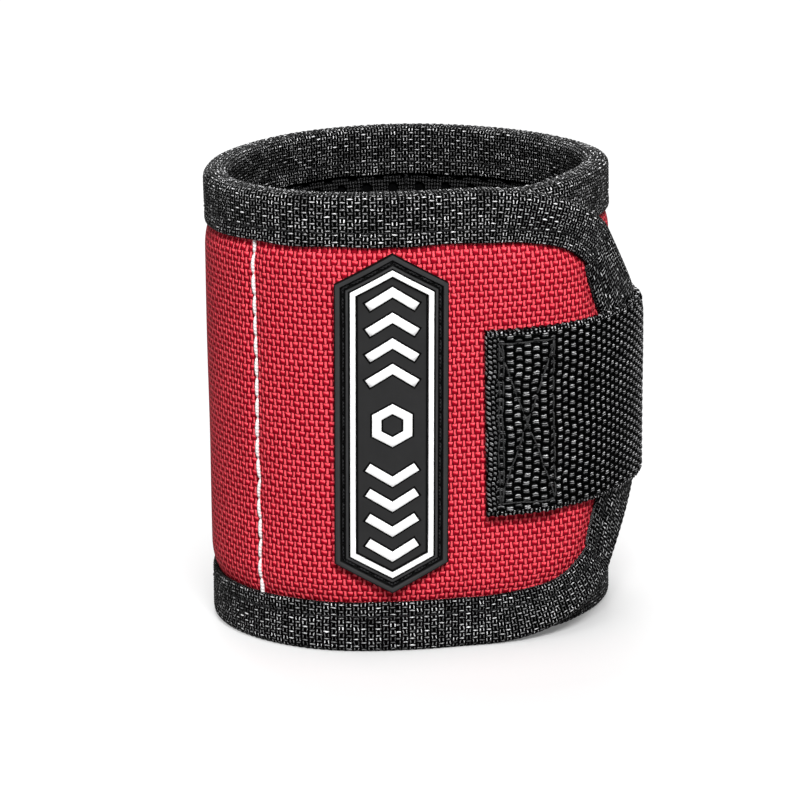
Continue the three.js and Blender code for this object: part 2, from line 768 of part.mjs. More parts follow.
// The upright hinge lines that the band and the strap bend about when it is opened
const hingeOffset = bandThickness / 2;
wristband.userData.hinges = Object.fromEntries(
  [
    ['outer_end', band.place(outerHingeAt, hingeOffset, middle)],
    ['front_panel', band.place(firstSeamAt, hingeOffset, middle)],
    ['inner_end', band.place(innerHingeAt, hingeOffset, middle)],
    ['strap_tongue', strap.place(strapTipAt, strapThickness / 2, middle)],
  ].map(([name, point]) => [name, point.add(wristband.position)]),
);

export default wristband;
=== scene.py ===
# Magnetic wristband, wound into a ring and standing on its bound edge
import json
import math

import bpy
import numpy as np
from mathutils import Matrix, Vector


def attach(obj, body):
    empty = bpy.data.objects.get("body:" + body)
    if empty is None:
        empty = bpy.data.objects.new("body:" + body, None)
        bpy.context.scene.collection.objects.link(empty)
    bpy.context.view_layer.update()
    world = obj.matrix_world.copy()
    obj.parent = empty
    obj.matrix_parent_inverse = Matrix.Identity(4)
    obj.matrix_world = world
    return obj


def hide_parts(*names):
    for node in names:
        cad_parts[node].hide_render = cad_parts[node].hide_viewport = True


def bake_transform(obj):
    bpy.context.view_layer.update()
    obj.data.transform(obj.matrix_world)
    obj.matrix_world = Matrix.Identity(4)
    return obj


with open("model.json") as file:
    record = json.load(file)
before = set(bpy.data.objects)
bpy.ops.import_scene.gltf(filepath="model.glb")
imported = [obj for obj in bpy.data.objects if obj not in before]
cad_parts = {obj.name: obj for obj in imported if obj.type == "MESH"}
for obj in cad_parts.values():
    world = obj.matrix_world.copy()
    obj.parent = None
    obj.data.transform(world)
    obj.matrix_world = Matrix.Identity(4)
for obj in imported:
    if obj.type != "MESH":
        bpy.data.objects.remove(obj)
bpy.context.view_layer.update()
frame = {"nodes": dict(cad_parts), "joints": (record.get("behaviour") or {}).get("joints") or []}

mm = 0.001
rng = np.random.default_rng(7)

# The flat band, in millimetres. Distances run along it from the tip of its outer end.
band = {
    "length": 304, "height": 94, "thickness": 5.2, "gap": 0.3,
    "outerHinge": 57.4, "badge": 71.4, "firstSeam": 99.3, "pocketPitch": 31, "pockets": 5,
    "innerEndDrop": 2.2, "lastSeamBack": 6,
}
gap = band["gap"]
middle = band["height"] / 2
halfThick = band["thickness"] / 2
seams = [band["firstSeam"] + band["pocketPitch"] * i for i in range(band["pockets"] + 1)]
innerHinge = seams[-1]
seams[-1] -= band["lastSeamBack"]  # sewn nearer to its magnets than the others
backCut = seams[2]  # the pieces of the band meet under the badge and at this seam

# The ring it is wound into, slightly out of round
ring = {
    "radius": 38.7,
    "shares": [1.021, 0.982, 0.943, 0.974, 1.059, 1.054, 0.969, 0.953, 0.979, 1.036, 1.013, 1.005],
    "firstAngle": -180, "outerTip": 94, "turns": 1.5, "overlapGap": 0.4, "overlap": (12, 57),
}

# Outlines of the two ends, the bound edge and the layers under it
ends = {
    "taperLength": 54, "browRadius": 52, "browTurn": 34, "shoulderRadius": 12, "shoulderTurn": 18,
    "tipFlatHalf": 9.5, "tipRadius": 11, "tipTurn": 55, "innerRadius": 11,
}
tape = {
    "depth": 10.4, "crestHalf": 1.25, "crestRise": 1.5, "stitchInset": 2.9,
    "extra": 4.2, "extraFrom": 1, "extraTo": 23, "drawn": 1.1, "drawnAt": 33.5, "drawnReach": 7.5,
}
layers = {
    "puff": 5, "shell": 0.6, "mesh": 0.8, "edgeHalf": 0.5, "outerRise": 1.7, "innerRise": 1.3,
    "seamDip": 0.62, "seamReach": 2.6,
}
webbing = {
    "width": 38, "thickness": 1.3, "sewn": 54, "fold": 12, "ramp": 6, "tongue": 56, "landing": 16,
    "fastener": 1,
}


def smooth(start, end, value):
    t = np.clip((np.asarray(value, float) - start) / (end - start), 0, 1)
    return t * t * (3 - 2 * t)


def lerp(a, b, t):
    return a + (b - a) * t


def unit(vectors):
    return vectors / np.linalg.norm(vectors, axis=-1, keepdims=True)


def lengthsOf(points):
    return np.concatenate([[0], np.cumsum(np.linalg.norm(np.diff(points, axis=0), axis=1))])


def evenly(start, end, step):
    return np.linspace(start, end, round((end - start) / step) + 1)


# Joins two grids side by side, the second one mirrored, so that together they go round
def thereAndBack(outer, inner):
    return np.concatenate([outer, inner[:, ::-1]], 1)


def ringRadiusAt(angle):
    shares = np.array(ring["shares"])
    place = (np.asarray(angle, float) - ring["firstAngle"]) / 360 * len(shares)
    index = np.floor(place).astype(int)
    t = place - index
    before, start, end, after = (shares[(index + k) % len(shares)] for k in (-1, 0, 1, 2))
    return ring["radius"] * (
        (2 * t ** 3 - 3 * t ** 2 + 1) * start + (t ** 3 - 2 * t ** 2 + t) * (end - before) / 2
        + (3 * t ** 2 - 2 * t ** 3) * end + (t ** 3 - t ** 2) * (after - start) / 2
    )


def bandRadiusAt(angle):
    over = smooth(*ring["overlap"], angle)
    under = 1 - smooth(*ring["overlap"], np.add(angle, 360))
    return ringRadiusAt(angle) + (band["thickness"] + ring["overlapGap"]) * (over - under)


def offsetRadius(radiusAt, angle, offset):
    radius = radiusAt(angle)
    slope = (radiusAt(angle + 1) - radiusAt(angle - 1)) / (2 * math.radians(1) * radius)
    return radius + offset * np.hypot(1, slope)


# The strap lies on the outer end and, past its tip, on the hook and loop tapes
def strapRadiusAt(angle):
    onFace = (band["thickness"] + webbing["thickness"]) / 2 + gap
    overEnd = offsetRadius(bandRadiusAt, angle, onFace)
    overLoop = offsetRadius(ringRadiusAt, angle, onFace + 2 * (webbing["fastener"] + gap))
    landed = smooth(ring["outerTip"], ring["outerTip"] + webbing["landing"], angle)
    return lerp(overEnd, overLoop, landed)


# A path in plan that is walked by its length, with its outward directions
def makeTrack(radiusAt, firstAngle, lastAngle):
    angles = np.linspace(firstAngle, lastAngle, math.ceil(abs(lastAngle - firstAngle) * 4) + 1)
    turn, radius = np.radians(angles), radiusAt(angles)
    points = np.stack([radius * np.sin(turn), -radius * np.cos(turn)], 1)
    along = unit(np.gradient(points, axis=0)) * np.sign(lastAngle - firstAngle)
    out = np.stack([along[:, 1], -along[:, 0]], 1)
    return {"angles": angles, "points": points, "lengths": lengthsOf(points), "out": out}


def onTrack(track, distance, offset, height):
    distance, offset, height = np.broadcast_arrays(distance, offset, height)
    x, y, outX, outY = (np.interp(distance, track["lengths"], track[key][:, axis])
                        for key in ("points", "out") for axis in (0, 1))
    size = np.hypot(outX, outY)
    return np.stack([x + outX / size * offset, y + outY / size * offset, height], -1)


def distanceOf(track, angle):
    order = np.argsort(track["angles"])
    return float(np.interp(angle, track["angles"][order], track["lengths"][order]))


bandTrack = makeTrack(bandRadiusAt, ring["outerTip"], ring["outerTip"] - ring["turns"] * 360)
strapFirst = float(np.interp(webbing["sewn"], bandTrack["lengths"], bandTrack["angles"]))
strapTrack = makeTrack(strapRadiusAt, strapFirst, strapFirst + 180)
strapTip = distanceOf(strapTrack, ring["outerTip"])
strapEnd = strapTip + webbing["tongue"]

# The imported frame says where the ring's centre lies: its hinge is a known point of the band
hinge = next(joint for joint in frame["joints"] if joint["name"] == "outer_end_swing")
shift = np.array(hinge["pos_m"]) - onTrack(bandTrack, band["outerHinge"], halfThick, middle) * mm


def onBand(distance, offset, height):
    drop = band["innerEndDrop"] * smooth(innerHinge, band["length"], distance)
    lowered = np.asarray(height) * (1 - drop / band["height"])
    return onTrack(bandTrack, distance, offset, lowered) * mm + shift


def onStrap(distance, offset, height):
    return onTrack(strapTrack, distance, offset, height) * mm + shift


print("paths ready, ring centre at", np.round(shift * 1000, 3))

# Camera, where the photograph was taken from
lens = {
    "elevation": 13.94, "roll": 0.76, "distance": 0.772, "targetHeight": 0.047,
    "pixelsPerMetre": 4761, "targetPixel": (404.9, 378.5), "picture": 800, "sensor": 36,
}


def makeCamera():
    tilt = math.radians(lens["elevation"])
    data = bpy.data.cameras.new("camera")
    camera = bpy.data.objects.new("camera", data)
    bpy.context.scene.collection.objects.link(camera)
    target = Vector((shift[0], shift[1], lens["targetHeight"]))
    camera.location = target + lens["distance"] * Vector((0, -math.cos(tilt), math.sin(tilt)))
    upright = Matrix.Rotation(math.pi / 2 - tilt, 4, "X")
    roll = Matrix.Rotation(-math.radians(lens["roll"]), 4, "Z")
    camera.rotation_euler = (upright @ roll).to_euler()
    data.sensor_width = lens["sensor"]
    data.lens = lens["pixelsPerMetre"] * lens["distance"] * lens["sensor"] / lens["picture"]
    data.shift_x = 0.5 - lens["targetPixel"][0] / lens["picture"]
    data.shift_y = lens["targetPixel"][1] / lens["picture"] - 0.5
    bpy.context.scene.camera = camera


makeCamera()


# A value in a node tree, which lets its maths be written as plain sums
class Wire:
    def __init__(self, weaver, socket):
        self.weaver = weaver
        self.socket = socket

    def do(self, operation, *others):
        return self.weaver.math(operation, self, *others)

    def clamped(self):
        return self.do("MAXIMUM", 0.0).do("MINIMUM", 1.0)

    def __add__(self, other):
        return self.do("ADD", other)

    def __sub__(self, other):
        return self.do("SUBTRACT", other)

    def __rsub__(self, other):
        return self.weaver.math("SUBTRACT", other, self)

    def __mul__(self, other):
        return self.do("MULTIPLY", other)

    def __truediv__(self, other):
        return self.do("DIVIDE", other)

    def __pow__(self, other):
        return self.do("POWER", other)


def pillow(across, along):
    return ((1 - across ** 2.0).do("MAXIMUM", 0.0) * (1 - along ** 4.0).do("MAXIMUM", 0.0)).do("SQRT")


# Makes the nodes of one material or world
class Weaver:
    def __init__(self, name, kind="materials"):
        self.owner = getattr(bpy.data, kind).new(name)
        self.owner.use_nodes = True
        self.tree = self.owner.node_tree

    def link(self, value, socket):
        if isinstance(value, Wire):
            self.tree.links.new(value.socket, socket)
        else:
            socket.default_value = value

    def node(self, kind, inputs, output=0, **settings):
        made = self.tree.nodes.new(kind)
        for key, value in settings.items():
            setattr(made, key, value)
        for key, value in inputs.items():
            self.link(value, made.inputs[key])
        return Wire(self, made.outputs[output])

    def math(self, operation, *values):
        return self.node("ShaderNodeMath", dict(enumerate(values)), operation=operation)

    def mix(self, share, a, b):
        return self.node("ShaderNodeMix", {0: share, 2: a, 3: b}, data_type="FLOAT")

    def mixColour(self, share, a, b):
        return self.node("ShaderNodeMix", {0: share, 6: a, 7: b}, 2, data_type="RGBA")

    # The cloth's own flat coordinates, together and apart
    def cloth(self):
        uv = self.node("ShaderNodeUVMap", {}, uv_map="cloth")
        return uv, *(self.node("ShaderNodeSeparateXYZ", {0: uv}, axis) for axis in (0, 1))

    def place(self):
        return self.node("ShaderNodeTexCoord", {}, "Object")

    # The value that some meshes give each point
    def level(self):
        return self.node("ShaderNodeAttribute", {}, "Fac", attribute_name="level")

    def noise(self, vector, scale, detail=3.0, rough=0.55):
        inputs = {"Vector": vector, "Scale": scale, "Detail": detail, "Roughness": rough}
        return self.node("ShaderNodeTexNoise", inputs)

    # Noise that swings by some size round nothing, or between two values
    def sway(self, vector, scale, size, detail=3.0):
        return (self.noise(vector, scale, detail) - 0.5) * size

    def spread(self, vector, scale, low, high):
        return self.mix(self.noise(vector, scale), low, high)

    # A random value for each cell
    def cells(self, x, y):
        corner = self.node("ShaderNodeCombineXYZ", {0: x.do("FLOOR"), 1: y.do("FLOOR")})
        return self.node("ShaderNodeTexWhiteNoise", {"Vector": corner}, noise_dimensions="2D")

    # Heights of a plain weave, in cells of x and y: upright stems and lying floats, each given by
    # half its width and half its length. A stem may reach over into the cells above and below it.
    def weave(self, x, y, stem, lying, ply=0.0):
        fromX, fromY = ((value.do("FRACT") - 0.5).do("ABSOLUTE") for value in (x, y))
        isFloat = (x.do("FLOOR") + y.do("FLOOR")).do("FLOORED_MODULO", 2.0)
        stemY = self.mix(isFloat, fromY, 1 - fromY)
        floatX = self.mix(isFloat, 1 - fromX, fromX)
        stemX = fromX / stem[0]
        if ply:
            stemX = (stemX - ply).do("ABSOLUTE") / (1 - ply)
        return pillow(stemX, stemY / stem[1]), pillow(fromY / lying[1], floatX / lying[0])

    def shade(self, inputs):
        for key, value in inputs.items():
            self.link(value, self.tree.nodes["Principled BSDF"].inputs[key])
        return self.owner

    # A bump is its strength and its distance in metres
    def finish(self, colour, height, roughness, specular, bump):
        inputs = {"Height": height, "Strength": bump[0], "Distance": bump[1]}
        inputs = {"Normal": self.node("ShaderNodeBump", inputs), "Specular IOR Level": specular}
        return self.shade({"Base Color": colour, "Roughness": roughness, **inputs})


def grey(level, blue=None):
    return (level, level, blue or level, 1)


# Red nylon: a coarse weave of fat floats between narrow stems. Light and shade are painted into
# its colour: painted shade in the gaps between yarns, each float painted from shaded to lit by
# its place in its cell, given aside, upwards and at its middle, and a painted highlight on the
# stems and on a crown of each float. Here and below a noise starts with its scale, and a surface
# is its roughness, its specular level and its bump.
redCloth = {
    "cell": (0.95, 1.22), "stem": (0.31, 0.6), "float": (0.58, 0.52),
    "waver": (0.3, 0.7), "fibres": (5.0, 0.3, 2.0), "uneven": (0.9, 0.65, 1.35), "clouds": (0.05, 0.9, 1.12),
    "unevenCells": (0.85, 1.15), "light": (-0.55, 2.3, 0.36),
    "surface": (0.6, 0.015, (1.0, 0.0003)),
    "gap": (0.11, 0.0002, 0.003, 1), "shaded": (0.25, 0.003, 0.012, 1), "lit": (0.56, 0.008, 0.026, 1),
    "stemHighlight": (1.0, 0.098, 0.128, 1),
}


def redNylon():
    c = redCloth
    w = Weaver("redNylon")
    uv, u, v = w.cloth()
    waver = w.sway(uv, *c["waver"])
    x = u / c["cell"][0] + waver
    y = v / c["cell"][1] + waver
    stem, lying = w.weave(x, y, c["stem"], c["float"])
    uneven = w.spread(uv, *c["uneven"]) * w.mix(w.cells(x, y), *c["unevenCells"])
    aside, above, level = c["light"]
    paintedShading = (x.do("FRACT") - 0.5) * aside + (y.do("FRACT") - 0.5) * above + level
    # Painted shade: dark gaps between the yarns, and each float painted from shaded to lit by its place in
    # its cell
    body = w.mixColour(lying * uneven, c["gap"], w.mixColour(paintedShading, c["shaded"], c["lit"]))
    # Painted highlight: a crown on each float and the narrow stems are painted bright pink
    crest = lying ** 2.0 * (paintedShading * 2.4 - 1.2)
    share = (stem ** 1.5).do("MAXIMUM", crest) * uneven
    colour = w.mixColour(share.do("MINIMUM", 1.0), body, c["stemHighlight"])
    inputs = {"Color": colour, "Value": w.spread(uv, *c["clouds"])}
    colour = w.node("ShaderNodeHueSaturation", inputs)
    height = (lying * 0.8).do("MAXIMUM", stem) + w.sway(uv, *c["fibres"])
    return w.finish(colour, height, *c["surface"])


# Black binding tape: painted glints on the crowns of two-ply yarns over near-black gaps, which
# are painted darker still as shade. In some patches the stems lie over the floats.
tapeWeave = {
    "cell": (1.43, 0.73), "stem": (0.38, 0.66), "float": (0.46, 0.32), "ply": 0.7,
    "waver": (0.5, 0.24), "quickWaver": (1.3, 0.34, 2.0), "patches": (0.22, 5.0, 2.0),
    "over": 1.02, "under": 0.9, "yarns": (0.4, 2.5), "grain": (2.6, 3.0, 0.7),
    "glints": 4.3, "shadedInsideGlints": 0.68, "glintPatches": 0.42, "sharpness": 9.0,
    "gap": grey(0.0001), "body": grey(0.0018, 0.0019), "glint": grey(0.92, 0.93),
    "surface": (0.5, 0.008, (1.0, 0.00024)),
}


# Base colour with painted shade in the gaps between yarns and painted glints on their crowns
def glinting(w, share, high, t):
    return w.mixColour(share.do("MINIMUM", 1.0), w.mixColour(high, t["gap"], t["body"]), t["glint"])


def bindingWeave():
    t = tapeWeave
    w = Weaver("bindingTape")
    uv, u, v = w.cloth()
    waver = w.sway(uv, *t["waver"]) + w.sway(uv, *t["quickWaver"])
    x = u / t["cell"][0] + waver
    y = v / t["cell"][1] + waver
    stem, lying = w.weave(x, y, t["stem"], t["float"], t["ply"])
    scale, contrast, base = t["patches"]
    turn = (w.noise(uv, scale, 2.0) * contrast - base).clamped()
    lying = lying * w.mix(turn, t["over"], t["under"])
    high = lying.do("MAXIMUM", stem * w.mix(turn, t["under"], t["over"]))
    grain = w.noise(uv, *t["grain"])
    yarn = w.mix(w.cells(x, y) ** 1.8, *t["yarns"])
    # Painted shade: the glints are dimmer on the tape's inner side, the side inside the ring
    isOutside = (v * 0.25 + 1.2).clamped()
    speck = grain ** 2.0 * yarn * w.noise(uv, t["glintPatches"]) * t["glints"]
    speck = speck * w.mix(isOutside, t["shadedInsideGlints"], 1.0)
    share = high.do("MAXIMUM", 0.0) ** t["sharpness"] * speck
    return w.finish(glinting(w, share, high, t), high + grain * 0.35, *t["surface"])


# Webbing, in cells of one rib by one bead: trapezoid beads, every second rib half a bead lower.
# They are slimmer over the middle ribs, which shows more of the dark gaps there as partly painted
# shade, finer on the fold, and bars along the selvedges. The colour has painted glints on the
# beads, lighter towards one side and end of each bead, and painted shade in the gaps.
webbingWeave = {
    "width": 0.42, "height": 0.35, "slant": 0.12, "arch": 0.9, "pressed": 0.85,
    "wander": (1.1, 0.16, 2.0), "grain": (3.2, 3.0, 0.7), "flanks": (9.0, 8.0), "rounding": 0.3,
    "slimming": 0.008, "slimFrom": 5.0, "slimTo": 13.0, "lastRib": 31.0,
    "foldRibs": 1.25, "foldScale": (1.9, 1.6), "foldSlant": 0.7, "selvedgeFrom": 10.75, "barsPerRib": 2.05,
    "beads": (0.55, 1.35), "strands": 26.0, "frayed": 7.0, "light": (0.5, 1.1, 0.55),
    "gap": grey(0.0001), "body": grey(0.005, 0.0055), "glint": grey(0.8, 0.81),
    "surface": (0.5, 0.008, (1.0, 0.0003)),
}


def ribbedWebbing():
    t = webbingWeave
    w = Weaver("ribbedWebbing")
    uv, u, v = w.cloth()
    fine = w.noise(uv, *t["grain"])
    wander = w.sway(uv, *t["wander"])
    bars = (u * (2 * math.pi * t["barsPerRib"])).do("SINE")
    isSelvedge = v.do("ABSOLUTE").do("GREATER_THAN", t["selvedgeFrom"])
    isFold = u.do("LESS_THAN", t["foldRibs"])
    v = w.mix(isFold, v, v * t["foldScale"][1] + u * t["foldSlant"])
    u = w.mix(isFold, u, u * t["foldScale"][0])
    rib = u.do("FLOOR")
    isOdd = rib.do("FLOORED_MODULO", 2.0)
    lowered = v + isOdd * 0.5
    across = u.do("FRACT") - 0.5 + wander
    down = lowered.do("FRACT") - 0.5 + wander + across * across * isOdd * t["arch"]
    # Slimmer beads in the middle ribs, in relief and in colour: the extra dark gap is partly painted shade
    slim = rib.do("MINIMUM", (t["lastRib"] - rib).do("MAXIMUM", t["slimFrom"])).do("MINIMUM", t["slimTo"])
    side = slim * -t["slimming"] + t["width"] - (across.do("ABSOLUTE") + down * t["slant"])
    wide = (side * t["flanks"][0]).do("SMOOTH_MIN", 1.0, t["rounding"])
    tall = ((t["height"] - down.do("ABSOLUTE")) * t["flanks"][1]).do("SMOOTH_MIN", 1.0, t["rounding"])
    bead = wide.do("MAXIMUM", 0.0) * tall.do("MAXIMUM", 0.0)
    # Beside the stitches the beads are lower and, as painted shade, darker
    bead = w.mix(isSelvedge, bead, bars * 1.2 + 0.3) * (1 - w.level() * t["pressed"])
    strand = (down * t["strands"] + fine * t["frayed"]).do("SINE") * 0.5 + 0.5
    # Painted highlight: the glints grow towards one side and one end of each bead
    light = across * t["light"][0] + down * t["light"][1] + t["light"][2]
    share = bead * w.mix(w.cells(u, lowered), *t["beads"]) * light * strand ** 2.5
    return w.finish(glinting(w, share, bead, t), bead + strand * 0.2, *t["surface"])


# Air mesh: a fine black knit with a painted highlight on its crowns only
airMesh = {
    "cellsPerMm": (1.45, 1.35), "stem": (0.34, 0.7), "float": (0.6, 0.36), "grain": 1.4, "sharpness": 8.0,
    "gap": grey(0.0001), "lit": grey(0.17, 0.174), "surface": (0.6, 0.006, (0.8, 0.00016)),
}


def blackMesh():
    m = airMesh
    w = Weaver("airMesh")
    uv, u, v = w.cloth()
    loops, rows = w.weave(u * m["cellsPerMm"][0], v * m["cellsPerMm"][1], m["stem"], m["float"])
    grain = w.noise(uv, m["grain"])
    high = loops.do("MAXIMUM", rows)
    colour = w.mixColour(high ** m["sharpness"] * grain ** 2.0, m["gap"], m["lit"])
    return w.finish(colour, high + grain, *m["surface"])


# A plain material whose colour and height follow one grain, given by its scale and detail
def grained(name, isOnCloth, grain, low, high, *surface):
    w = Weaver(name)
    share = w.noise(w.cloth()[0] if isOnCloth else w.place(), *grain)
    return w.finish(w.mixColour(share, low, high), share, *surface)


def plainRubber(name, low, high, roughness, groove=None):
    w = Weaver(name)
    grain = w.noise(w.place(), 2600.0, 2.0)
    colour = w.mixColour(w.noise(w.place(), 160.0), low, high)
    # Painted shade: where the level is low the colour goes to the dark groove colour
    if groove:
        colour = w.mixColour(w.level() ** 2.0, groove, colour)
    uneven = w.mix(grain, roughness - 0.06, roughness + 0.1)
    return w.finish(colour, grain, uneven, 0.045, (0.35, 0.00005))


def twistedThread(name, low, high, roughness, specular):
    w = Weaver(name)
    u, v = w.cloth()[1:]
    share = ((u * 1.4 + v) * (2 * math.pi)).do("SINE") * 0.5 + 0.5
    return w.finish(w.mixColour(share, low, high), share, roughness, specular, (0.8, 0.00008))


def nickelPlate():
    w = Weaver("nickel")
    cloud = w.noise(w.place(), 300.0)
    colour = w.mixColour(cloud, (0.62, 0.61, 0.58, 1), (0.74, 0.73, 0.71, 1))
    return w.shade({"Base Color": colour, "Roughness": w.mix(cloud, 0.16, 0.34), "Metallic": 1})


threadBlack = grey(0.0004, 0.0005)
look = {
    "red": redNylon(),
    "binding": bindingWeave(),
    "webbing": ribbedWebbing(),
    "mesh": blackMesh(),
    "foam": grained("foam", False, (1500.0, 2.0), grey(0.0008, 0.0009), grey(0.003, 0.0032),
                    0.95, 0.01, (0.5, 0.0002)),
    "badgeRim": plainRubber("badgeRimRubber", grey(0.027, 0.0275), grey(0.044, 0.045), 0.55, grey(0.0005)),
    "white": plainRubber("whiteRubber", grey(0.88), grey(0.93), 0.5),
    "whiteThread": twistedThread("whiteThread", (0.62, 0.58, 0.57, 1), (0.93, 0.92, 0.91, 1), 0.6, 0.3),
    "blackThread": twistedThread("blackThread", threadBlack, grey(0.022, 0.023), 0.35, 0.04),
    "boxThread": twistedThread("boxThread", threadBlack, grey(0.045, 0.046), 0.3, 0.3),
    "groove": plainRubber("shadowBandRubber", grey(0.0003), grey(0.0008), 0.6),
    "ground": grained("tapeGround", True, (1.3, 4.0, 0.7), grey(0.0008, 0.001), grey(0.008, 0.0085),
                      0.9, 0.05, (1.0, 0.0005)),
    "pile": twistedThread("pileYarn", grey(0.002, 0.0022), grey(0.03, 0.031), 0.5, 0.08),
    "nickel": nickelPlate(),
}
print("materials ready:", len(look))


# Meshes: a level is a value at each point that the material reads, and caps are end faces
def newObject(name, points, faces, material, uv, level=None, caps=()):
    mesh = bpy.data.meshes.new(name)
    mesh.vertices.add(len(points))
    mesh.vertices.foreach_set("co", np.ascontiguousarray(points, np.float32).ravel())
    corners = np.concatenate([np.ravel(faces), *caps]).astype(np.int32)
    sizes = [faces.shape[1]] * len(faces) + [len(cap) for cap in caps]
    starts = np.concatenate([[0], np.cumsum(sizes)[:-1]]).astype(np.int32)
    mesh.loops.add(len(corners))
    mesh.loops.foreach_set("vertex_index", corners)
    mesh.polygons.add(len(starts))
    mesh.polygons.foreach_set("loop_start", starts)
    mesh.polygons.foreach_set("use_smooth", np.arange(len(starts)) < len(faces))
    cloth = mesh.uv_layers.new(name="cloth")
    cloth.data.foreach_set("uv", np.asarray(uv, np.float32).reshape(-1, 2)[corners].ravel())
    if level is not None:
        layer = mesh.attributes.new("level", "FLOAT", "POINT")
        layer.data.foreach_set("value", np.asarray(level, np.float32).ravel())
    mesh.update(calc_edges=True)
    mesh.validate()
    mesh.materials.append(look[material])
    made = bpy.data.objects.new(name, mesh)
    bpy.context.scene.collection.objects.link(made)
    return made


# Squares between the rows and columns of a grid; isRound joins the last column to the first
def gridFaces(rows, columns, isRound=False):
    i = np.arange(rows - 1)[:, None]
    j = np.arange(columns if isRound else columns - 1)[None, :]
    after = (j + 1) % columns
    corners = [i * columns + j, i * columns + after, (i + 1) * columns + after, (i + 1) * columns + j]
    return np.stack(corners, -1).reshape(-1, 4)


# Closes a round grid at both ends with strips across its first and last row, whose points are
# laid out there and back again
def endStrips(rows, columns):
    j = np.arange(columns // 2 - 1)
    first = np.stack([j, columns - 1 - j, columns - 2 - j, j + 1], -1)
    return np.concatenate([first, (rows - 1) * columns + first[:, ::-1]])


# The same faces for each of many equal sets of points
def repeatFaces(faces, count, size):
    return (faces[None] + (np.arange(count) * size)[:, None, None]).reshape(-1, 4)


def facesOut(points, faces, outward):
    a, b, c = (points[faces[:, k]] for k in (0, 1, 2))
    return faces if (np.cross(b - a, c - a) * outward).sum() > 0 else faces[:, ::-1]


def solidOut(points, faces):
    a, b, c, d = (points[faces[:, k]] for k in range(4))
    volume = (a * np.cross(b, c)).sum() + (a * np.cross(c, d)).sum()
    return faces if volume > 0 else faces[:, ::-1]


# Stations of a closed section, as an array of stations by points by 3
def closedLoft(name, points, material, uv, level=None, hasEnds=True):
    rows, columns = points.shape[:2]
    flat = points.reshape(-1, 3)
    faces = gridFaces(rows, columns, True)
    if hasEnds:
        faces = np.concatenate([faces, endStrips(rows, columns)])
    return newObject(name, flat, solidOut(flat, faces), material, uv, level)


# Rounded tubes: one for each stitch, given as stitches by steps by 3, with outward directions
def tubeSet(name, paths, outs, radii, material, sides=6):
    count, steps = paths.shape[:2]
    along = np.gradient(paths, axis=1)
    along /= np.maximum(np.linalg.norm(along, axis=2, keepdims=True), 1e-12)
    side = np.cross(along, outs)
    side /= np.maximum(np.linalg.norm(side, axis=2, keepdims=True), 1e-12)
    up = np.cross(side, along)
    turn = np.arange(sides) / sides * 2 * math.pi
    radii = np.broadcast_to(radii, (count, steps))[:, :, None, None]
    ringUp, ringSide = (part[None, None, :, None] for part in (np.cos(turn), np.sin(turn)))
    rings = paths[:, :, None] + radii * (ringUp * up[:, :, None] + ringSide * side[:, :, None])
    one = np.concatenate([gridFaces(steps, sides, True), endStrips(steps, sides)])
    faces = repeatFaces(one, count, steps * sides)
    flat = rings.reshape(-1, 3)
    length = np.linalg.norm(np.diff(paths, axis=1), axis=2)
    walked = np.concatenate([np.zeros((count, 1)), np.cumsum(length, 1)], 1) / mm
    uv = np.stack(np.broadcast_arrays(walked[:, :, None], (turn / (2 * math.pi))[None, None, :]), -1)
    return newObject(name, flat, solidOut(flat, faces), material, uv)


# Outlines of the band's ends: x from the tip, y over the middle line, from the top to the tip
def arc(centre, radius, start, end, count):
    turn = np.radians(np.linspace(start, end, count + 1))
    return np.stack([centre[0] + radius * np.cos(turn), centre[1] + radius * np.sin(turn)], 1)


def heading(degrees):
    return np.array([math.cos(math.radians(degrees)), math.sin(math.radians(degrees))])


def crossed(a, b):
    return a[0] * b[1] - a[1] * b[0]


def outerOutline():
    e = ends
    flankTurn = e["browTurn"] + e["shoulderTurn"]
    brow = arc((e["taperLength"], middle - e["browRadius"]), e["browRadius"], 90, 90 + e["browTurn"], 40)
    centre = brow[-1] + e["shoulderRadius"] * heading(e["browTurn"] - 90)
    shoulder = arc(centre, e["shoulderRadius"], 90 + e["browTurn"], 90 + flankTurn, 12)
    corner = arc((e["tipRadius"], e["tipFlatHalf"]), e["tipRadius"], 180 - e["tipTurn"], 180, 24)
    top, foot = shoulder[-1], corner[0]
    topWay, footWay = -heading(flankTurn), heading(90 - e["tipTurn"])
    knee = top + topWay * crossed(foot - top, footWay) / crossed(topWay, footWay)
    t = np.linspace(0, 1, 30)[:, None]
    flank = (1 - t) ** 2 * top + 2 * t * (1 - t) * knee + t ** 2 * foot
    return np.concatenate([brow, shoulder[1:], flank[1:], corner[1:]])


def innerOutline():
    radius = ends["innerRadius"]
    return arc((radius, middle - radius), radius, 90, 180, 24)


# Both halves of an end, started and ended at a distance from its tip
def wholeOutline(isOuter, start):
    half = outerOutline() if isOuter else innerOutline()
    upper = np.concatenate([[[start, middle]], half])
    return np.concatenate([upper, (upper * [1, -1])[::-1]])


def walkOutline(outline, parts):
    lengths = lengthsOf(outline)
    walked = np.linspace(0, lengths[-1], parts + 1)
    points = np.stack([np.interp(walked, lengths, outline[:, k]) for k in (0, 1)], 1)
    kernel = np.hanning(9) / np.hanning(9).sum()
    way = np.pad(np.gradient(points, axis=0), ((4, 4), (0, 0)), mode="edge")
    way = unit(np.stack([np.convolve(way[:, k], kernel, "valid") for k in (0, 1)], 1))
    return points, np.stack([-way[:, 1], way[:, 0]], 1), walked


# How much deeper the gathered tape reaches round the outer tip, and shallower beside it
def extraAt(x, isOuter):
    along = np.clip((x - tape["extraFrom"]) / (tape["extraTo"] - tape["extraFrom"]), 0, 1)
    drawn = tape["drawn"] * np.exp(-((x - tape["drawnAt"]) / tape["drawnReach"]) ** 2)
    return (tape["extra"] * np.sin(math.pi * along) - drawn) * isOuter


